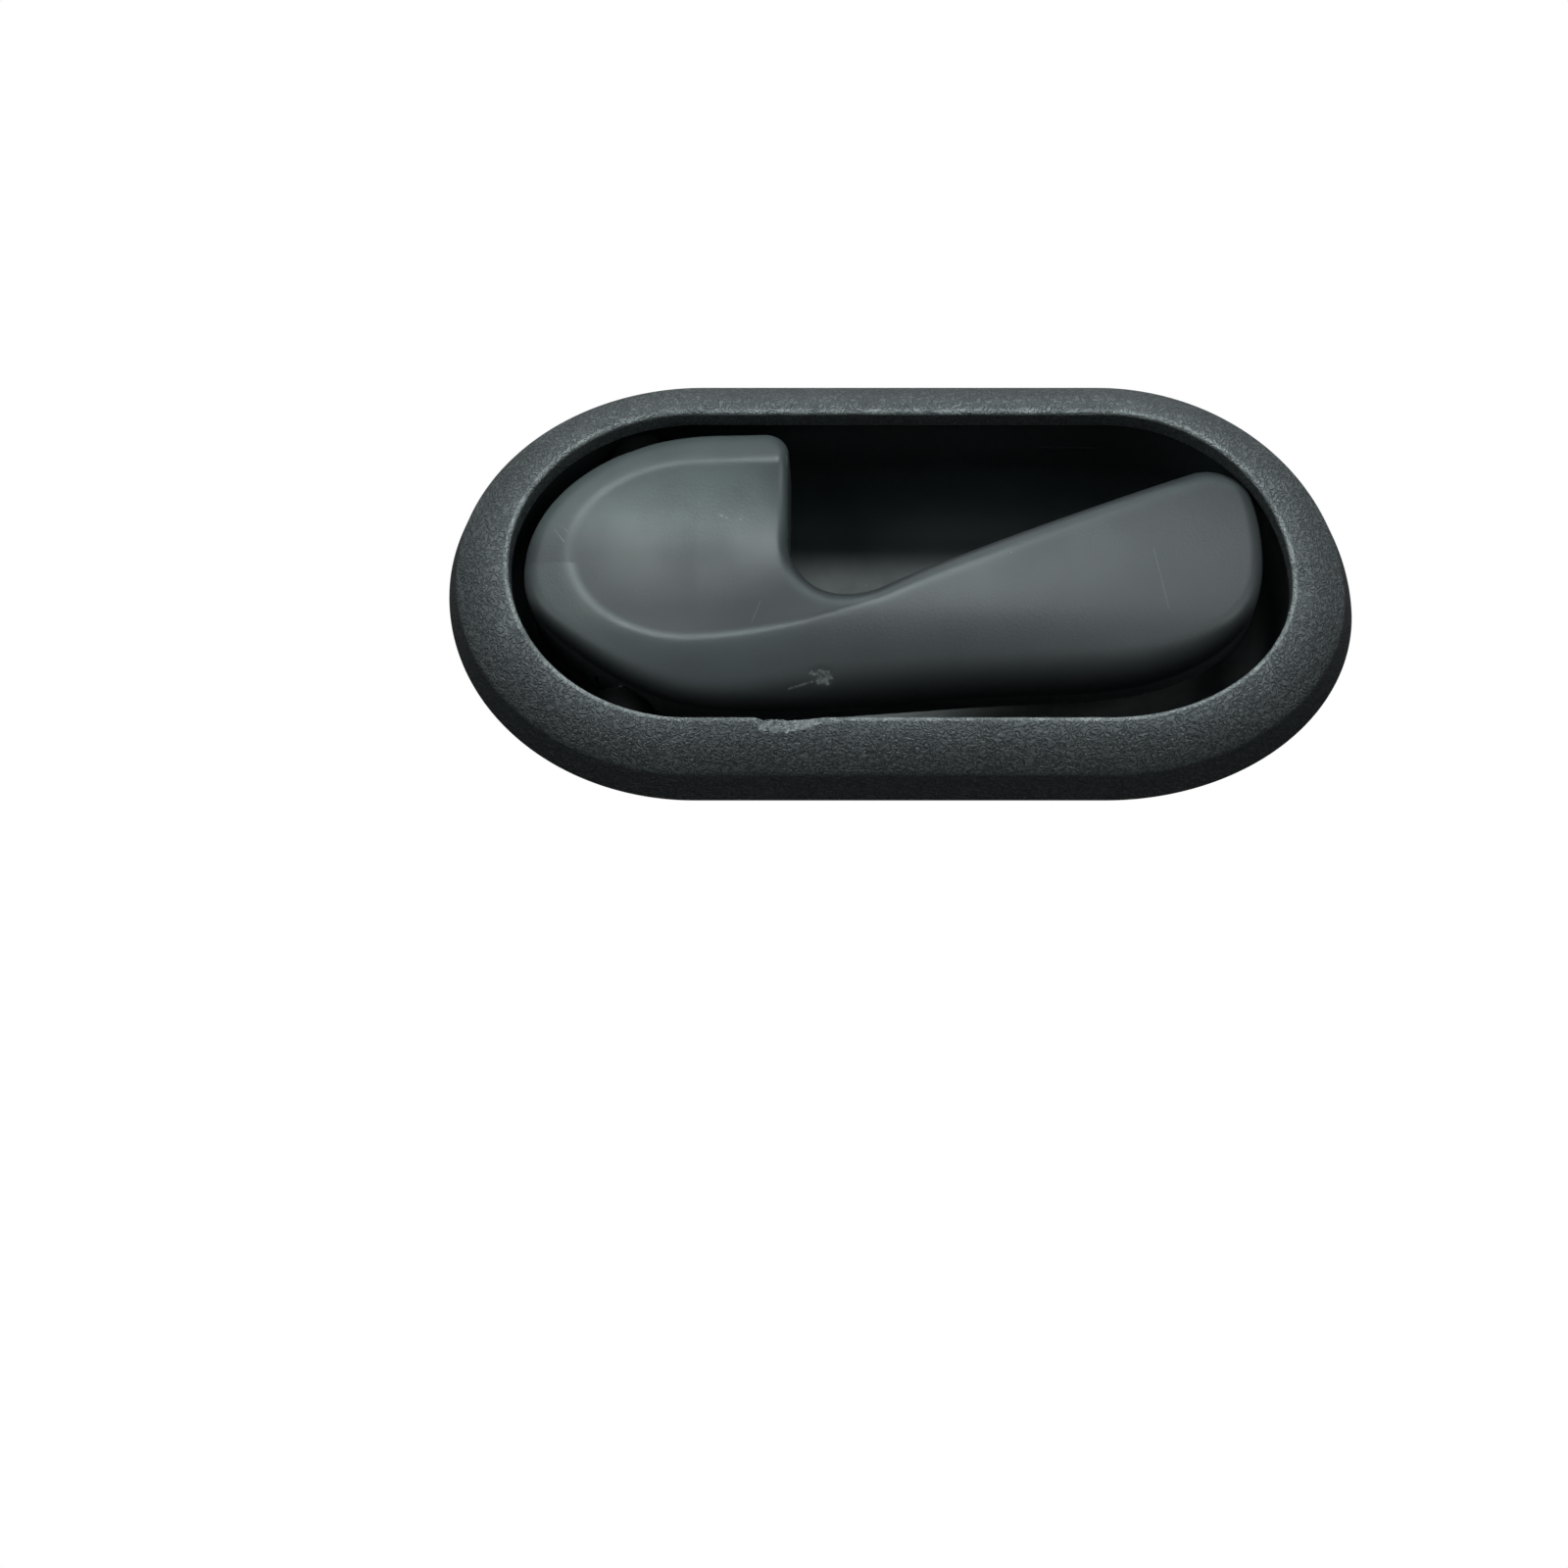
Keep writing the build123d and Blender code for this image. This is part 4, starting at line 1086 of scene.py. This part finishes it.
def cup_finish(colours):
    """Plain moulded black plastic of the finger cup, with dust specks, painted light on its floor and
    lower scoop, and painted shade round the pivot.
    """
    f = Finish("moulded_plastic")
    f.shader.inputs["Specular IOR Level"].default_value = 0.3
    spot = f.add("ShaderNodeSeparateXYZ", {"Vector": f.place}).outputs
    clouds = f.ramp(f.noise(60, 4.0), 0.3, 0.7)
    base = f.mix(clouds, f.colour(colours.cup, 0.85), f.colour(colours.cup, 1.12))
    # painted light on the cup's floor and lower scoop
    cup_lights = [f.ramp(spot["Z"], edge, full, 0.0, part) for edge, full, part in (CUP_FLOOR_LIGHT, SCOOP_LIGHT)]
    cup_light = f.math("MAXIMUM", *cup_lights)
    cup_light = f.math("MULTIPLY", cup_light, f.ramp(spot["Y"], *CUP_LIGHT_DEPTH))
    cup_light = f.math("MULTIPLY", cup_light, f.ramp(f.noise(240, 4.0), 0.2, 0.6, 0.75, 1.0))
    # lighten those places towards the dust colour as painted light
    base = f.mix(cup_light, base, f.colour(colours.dust))
    base = f.mix(f.specks(360, 0.10, 0.05), base, f.colour(colours.dust, 0.8))
    # painted shade round the pivot, near black and rougher
    pin = f.add("ShaderNodeCombineXYZ", {"X": spot["X"], "Y": spot["Y"]}).outputs[0]
    away = f.vector("DISTANCE", {0: pin, 1: (HINGE.x, HINGE.y, 0)}, "Value")
    pivot_shade = f.ramp(away, *PIVOT_SHADE_REACH)
    base = f.mix(pivot_shade, base, f.colour(colours.cup, 0.08))
    flow = f.noise(900, 3.0, 0.55)
    rough = f.ramp(f.noise(120, 3.0), 0.3, 0.7, 0.46, 0.58)
    rough = f.math("ADD", rough, f.math("MULTIPLY", pivot_shade, 0.35))
    return f.finish(base, rough, f.bump(flow, FLOW_DEPTH, 0.5))


def steel_finish(colours):
    """Drawn steel with fine lines along the metal and faint tarnish."""
    line_depth = 0.006 * MM
    f = Finish("drawn_steel")
    f.shader.inputs["Metallic"].default_value = 1.0
    stretch = f.add("ShaderNodeMapping", {"Vector": f.place, "Scale": (1.0, 1.0, 0.06)}).outputs[0]
    lines = f.add("ShaderNodeTexNoise", {"Vector": stretch, "Scale": 9000.0, "Detail": 2.0})
    lines = lines.outputs["Fac"]
    tarnish = f.ramp(f.noise(400, 4.0), 0.45, 0.75)
    base = f.mix(tarnish, f.colour(colours.steel), f.colour(colours.steel, 0.62))
    rough = f.math("ADD", f.ramp(lines, 0.3, 0.7, 0.24, 0.34), f.math("MULTIPLY", tarnish, 0.16))
    return f.finish(base, rough, f.bump(lines, line_depth, 0.5))


def rubber_finish(colours):
    """Matt moulded rubber with a faint bloom."""
    grain_depth = 0.02 * MM
    f = Finish("moulded_rubber")
    bloom = f.ramp(f.noise(500, 4.0), 0.4, 0.75)
    base = f.mix(bloom, f.colour(colours.rubber), f.colour(colours.rubber, 2.1))
    rough = f.ramp(f.noise(800, 3.0), 0.3, 0.7, 0.68, 0.85)
    return f.finish(base, rough, f.bump(f.noise(3000, 3.0), grain_depth, 0.6))


def dress_node(node, material):
    """Give a solid node its finish."""
    data = frame["nodes"][node].data
    data.materials.clear()
    data.materials.append(material)


SPRING_CREASE = radians(40)  # sharper edges of the wire shade as edges


def build_spring(material):
    """Return spring, which winds up as the real lever swings, made from its solid node as one smooth
    wire.
    """
    node = "return_spring"
    bm = bmesh.new()
    bm.from_mesh(frame["nodes"][node].data)
    bmesh.ops.remove_doubles(bm, verts=bm.verts, dist=WELD)
    for face in bm.faces:
        face.smooth = True
    mesh = bpy.data.meshes.new("spring_wire")
    bm.to_mesh(mesh)
    bm.free()
    mesh.set_sharp_from_angle(angle=SPRING_CREASE)
    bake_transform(add_piece("spring_coil", node, mesh, material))


# Operators


class HANDLE_OT_bezel(bpy.types.Operator):
    """Build the grained bezel ring with its torn rim"""

    bl_idname = "handle.bezel"
    bl_label = "Bezel ring"

    def execute(self, context):
        mesh = build_bezel(context.scene.handle_bezel)
        piece = add_piece("bezel_ring", "bezel", mesh, bezel_finish(context.scene.handle_finish))
        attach(piece, "base")
        return {"FINISHED"}


class HANDLE_OT_lever(bpy.types.Operator):
    """Build the pull lever with its thumb dish"""

    bl_idname = "handle.lever"
    bl_label = "Pull lever"

    def execute(self, context):
        size = context.scene.handle_lever
        material = lever_finish(context.scene.handle_finish, front_marks(size))
        piece = add_piece("pull_lever", "lever", build_lever(size), material)
        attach(piece, "pull")
        return {"FINISHED"}


class HANDLE_OT_cup(bpy.types.Operator):
    """Finish the housing with its finger cup"""

    bl_idname = "handle.cup"
    bl_label = "Finger cup"

    def execute(self, context):
        dress_node("housing", cup_finish(context.scene.handle_finish))
        return {"FINISHED"}


class HANDLE_OT_hardware(bpy.types.Operator):
    """Finish the pin, its clip, the return spring and the rest buffer"""

    bl_idname = "handle.hardware"
    bl_label = "Steel and rubber parts"

    def execute(self, context):
        colours = context.scene.handle_finish
        steel = steel_finish(colours)
        for node in ("pivot_pin", "pin_clip"):
            dress_node(node, steel)
        build_spring(steel)
        dress_node("rest_buffer", rubber_finish(colours))
        return {"FINISHED"}


# Brightness of the surroundings by height, where 1 is straight up
DARK_HEIGHT, DARK_STRENGTH = -0.05, 0.004
BRIGHT_HEIGHT, BRIGHT_STRENGTH = 0.9, 0.16
FILL_SHARE = 0.55  # share of it that lights the handle besides reflections


def studio_world():
    """White to the camera, with a studio's soft upper half in reflections and a weak fill."""
    world = bpy.data.worlds.new("studio")
    bpy.context.scene.world = world
    world.use_nodes = True
    w = NodeTree(world.node_tree)
    path = w.add("ShaderNodeLightPath").outputs
    place = w.add("ShaderNodeTexCoord").outputs["Generated"]
    height = w.add("ShaderNodeSeparateXYZ", {0: place}).outputs["Z"]
    upper = w.ramp(height, DARK_HEIGHT, BRIGHT_HEIGHT, DARK_STRENGTH, BRIGHT_STRENGTH)
    fill = w.math("MULTIPLY", upper, FILL_SHARE)
    seen = w.math("MAXIMUM", path["Is Camera Ray"], path["Is Transmission Ray"])
    light = w.add("ShaderNodeMix", {0: path["Is Glossy Ray"], 2: fill, 3: upper}).outputs[0]
    strength = w.add("ShaderNodeMix", {0: seen, 2: light, 3: 1.0}).outputs[0]
    background = w.add("ShaderNodeBackground", {"Color": (1, 1, 1, 1), "Strength": strength})
    w.add("ShaderNodeOutputWorld", {0: background.outputs[0]})


FLOOR_LIT = 0.1  # share of its colour that the floor shows to the camera under the lamps' light
FLOOR_BOUNCE = 0.12  # and that it throws back at the handle


def studio_floor(studio):
    """Plain pale floor well below the handle, which glows to the camera only."""
    f = Finish("pale_floor")
    tone = f.ramp(f.noise(3, 2.0), 0.3, 0.7)
    pale = f.mix(tone, f.colour(studio.floor_colour, 0.97), f.colour(studio.floor_colour))
    seen = f.add("ShaderNodeLightPath").outputs["Is Camera Ray"]
    bounced = f.colour(studio.floor_colour, FLOOR_BOUNCE)
    f.finish(f.mix(seen, bounced, f.colour(studio.floor_colour, FLOOR_LIT)), 0.9)
    f.tree.links.new(pale, f.shader.inputs["Emission Color"])
    f.tree.links.new(seen, f.shader.inputs["Emission Strength"])
    half = studio.floor_size / 2
    level = CAD_BOX[0][2] - studio.floor_drop
    mesh = bpy.data.meshes.new("floor")
    corners = [(-half, -half, level), (half, -half, level), (half, half, level), (-half, half, level)]
    mesh.from_pydata(corners, [], [(0, 1, 2, 3)])
    mesh.materials.append(f.material)
    floor = bpy.data.objects.new("floor", mesh)
    bpy.context.scene.collection.objects.link(floor)


def studio_lamp(studio, name, turn):
    """Flat lamp that faces the handle, turned round it by an angle from the front."""
    lamp = bpy.data.lights.new(name + "_lamp", "AREA")
    lamp.shape = "RECTANGLE"
    lamp.size = getattr(studio, name + "_width")
    lamp.size_y = getattr(studio, name + "_rise")
    lamp.energy = getattr(studio, name + "_power")
    lamp.color = studio.lamp_colour
    height = getattr(studio, name + "_height")
    away = Vector((cos(height) * sin(turn), -cos(height) * cos(turn), sin(height)))
    place = bpy.data.objects.new(name + "_lamp", lamp)
    place.location = away * studio.lamp_distance
    place.rotation_euler = away.to_track_quat("Z", "Y").to_euler()
    bpy.context.scene.collection.objects.link(place)


class HANDLE_OT_stage(bpy.types.Operator):
    """Set up the floor, the light and the camera"""

    bl_idname = "handle.stage"
    bl_label = "Studio"

    def execute(self, context):
        studio = context.scene.handle_studio
        studio_world()
        studio_floor(studio)
        studio_lamp(studio, "key", 0.0)
        studio_lamp(studio, "top", 0.0)
        studio_lamp(studio, "back", pi)
        for side in (-1, 1):
            studio_lamp(studio, "fill", side * studio.fill_turn)
        data = bpy.data.cameras.new("camera")
        data.lens = studio.lens
        data.sensor_fit = "HORIZONTAL"
        data.shift_x = 0.5 - studio.centre_x / IMAGE_SIZE
        data.shift_y = studio.centre_y / IMAGE_SIZE - 0.5
        camera = bpy.data.objects.new("camera", data)
        away = Vector((0, -cos(studio.below), -sin(studio.below)))
        camera.location = away * studio.distance
        camera.rotation_euler = (pi / 2 + studio.below, 0, 0)
        context.scene.collection.objects.link(camera)
        context.scene.camera = camera
        context.scene.view_settings.view_transform = "Standard"
        return {"FINISHED"}


class HANDLE_PT_panel(bpy.types.Panel):
    """Lists the handle's pieces and their sizes"""

    bl_label = "Door handle"
    bl_idname = "HANDLE_PT_panel"
    bl_space_type = "VIEW_3D"
    bl_region_type = "UI"
    bl_category = "Handle"

    def draw(self, context):
        for operator in OPERATORS:
            self.layout.operator(operator.bl_idname)
        for group in GROUPS:
            settings = getattr(context.scene, group)
            box = self.layout.box()
            for name in settings.__annotations__:
                box.prop(settings, name)


OPERATORS = (HANDLE_OT_bezel, HANDLE_OT_lever, HANDLE_OT_cup, HANDLE_OT_hardware, HANDLE_OT_stage)
GROUPS = {
    "handle_bezel": HANDLE_PG_bezel,
    "handle_lever": HANDLE_PG_lever,
    "handle_finish": HANDLE_PG_finish,
    "handle_studio": HANDLE_PG_studio,
}


def register():
    """Register the classes and their settings."""
    for cls in (*GROUPS.values(), *OPERATORS, HANDLE_PT_panel):
        bpy.utils.register_class(cls)
    for name, cls in GROUPS.items():
        setattr(bpy.types.Scene, name, PointerProperty(type=cls))


def unregister():
    """Remove the settings and the classes."""
    for name in GROUPS:
        delattr(bpy.types.Scene, name)
    for cls in reversed((*GROUPS.values(), *OPERATORS, HANDLE_PT_panel)):
        bpy.utils.unregister_class(cls)


def main():
    """Build every piece and the stage."""
    register()
    bpy.ops.handle.bezel()
    bpy.ops.handle.lever()
    bpy.ops.handle.cup()
    bpy.ops.handle.hardware()
    bpy.ops.handle.stage()


if __name__ == "__main__":
    main()
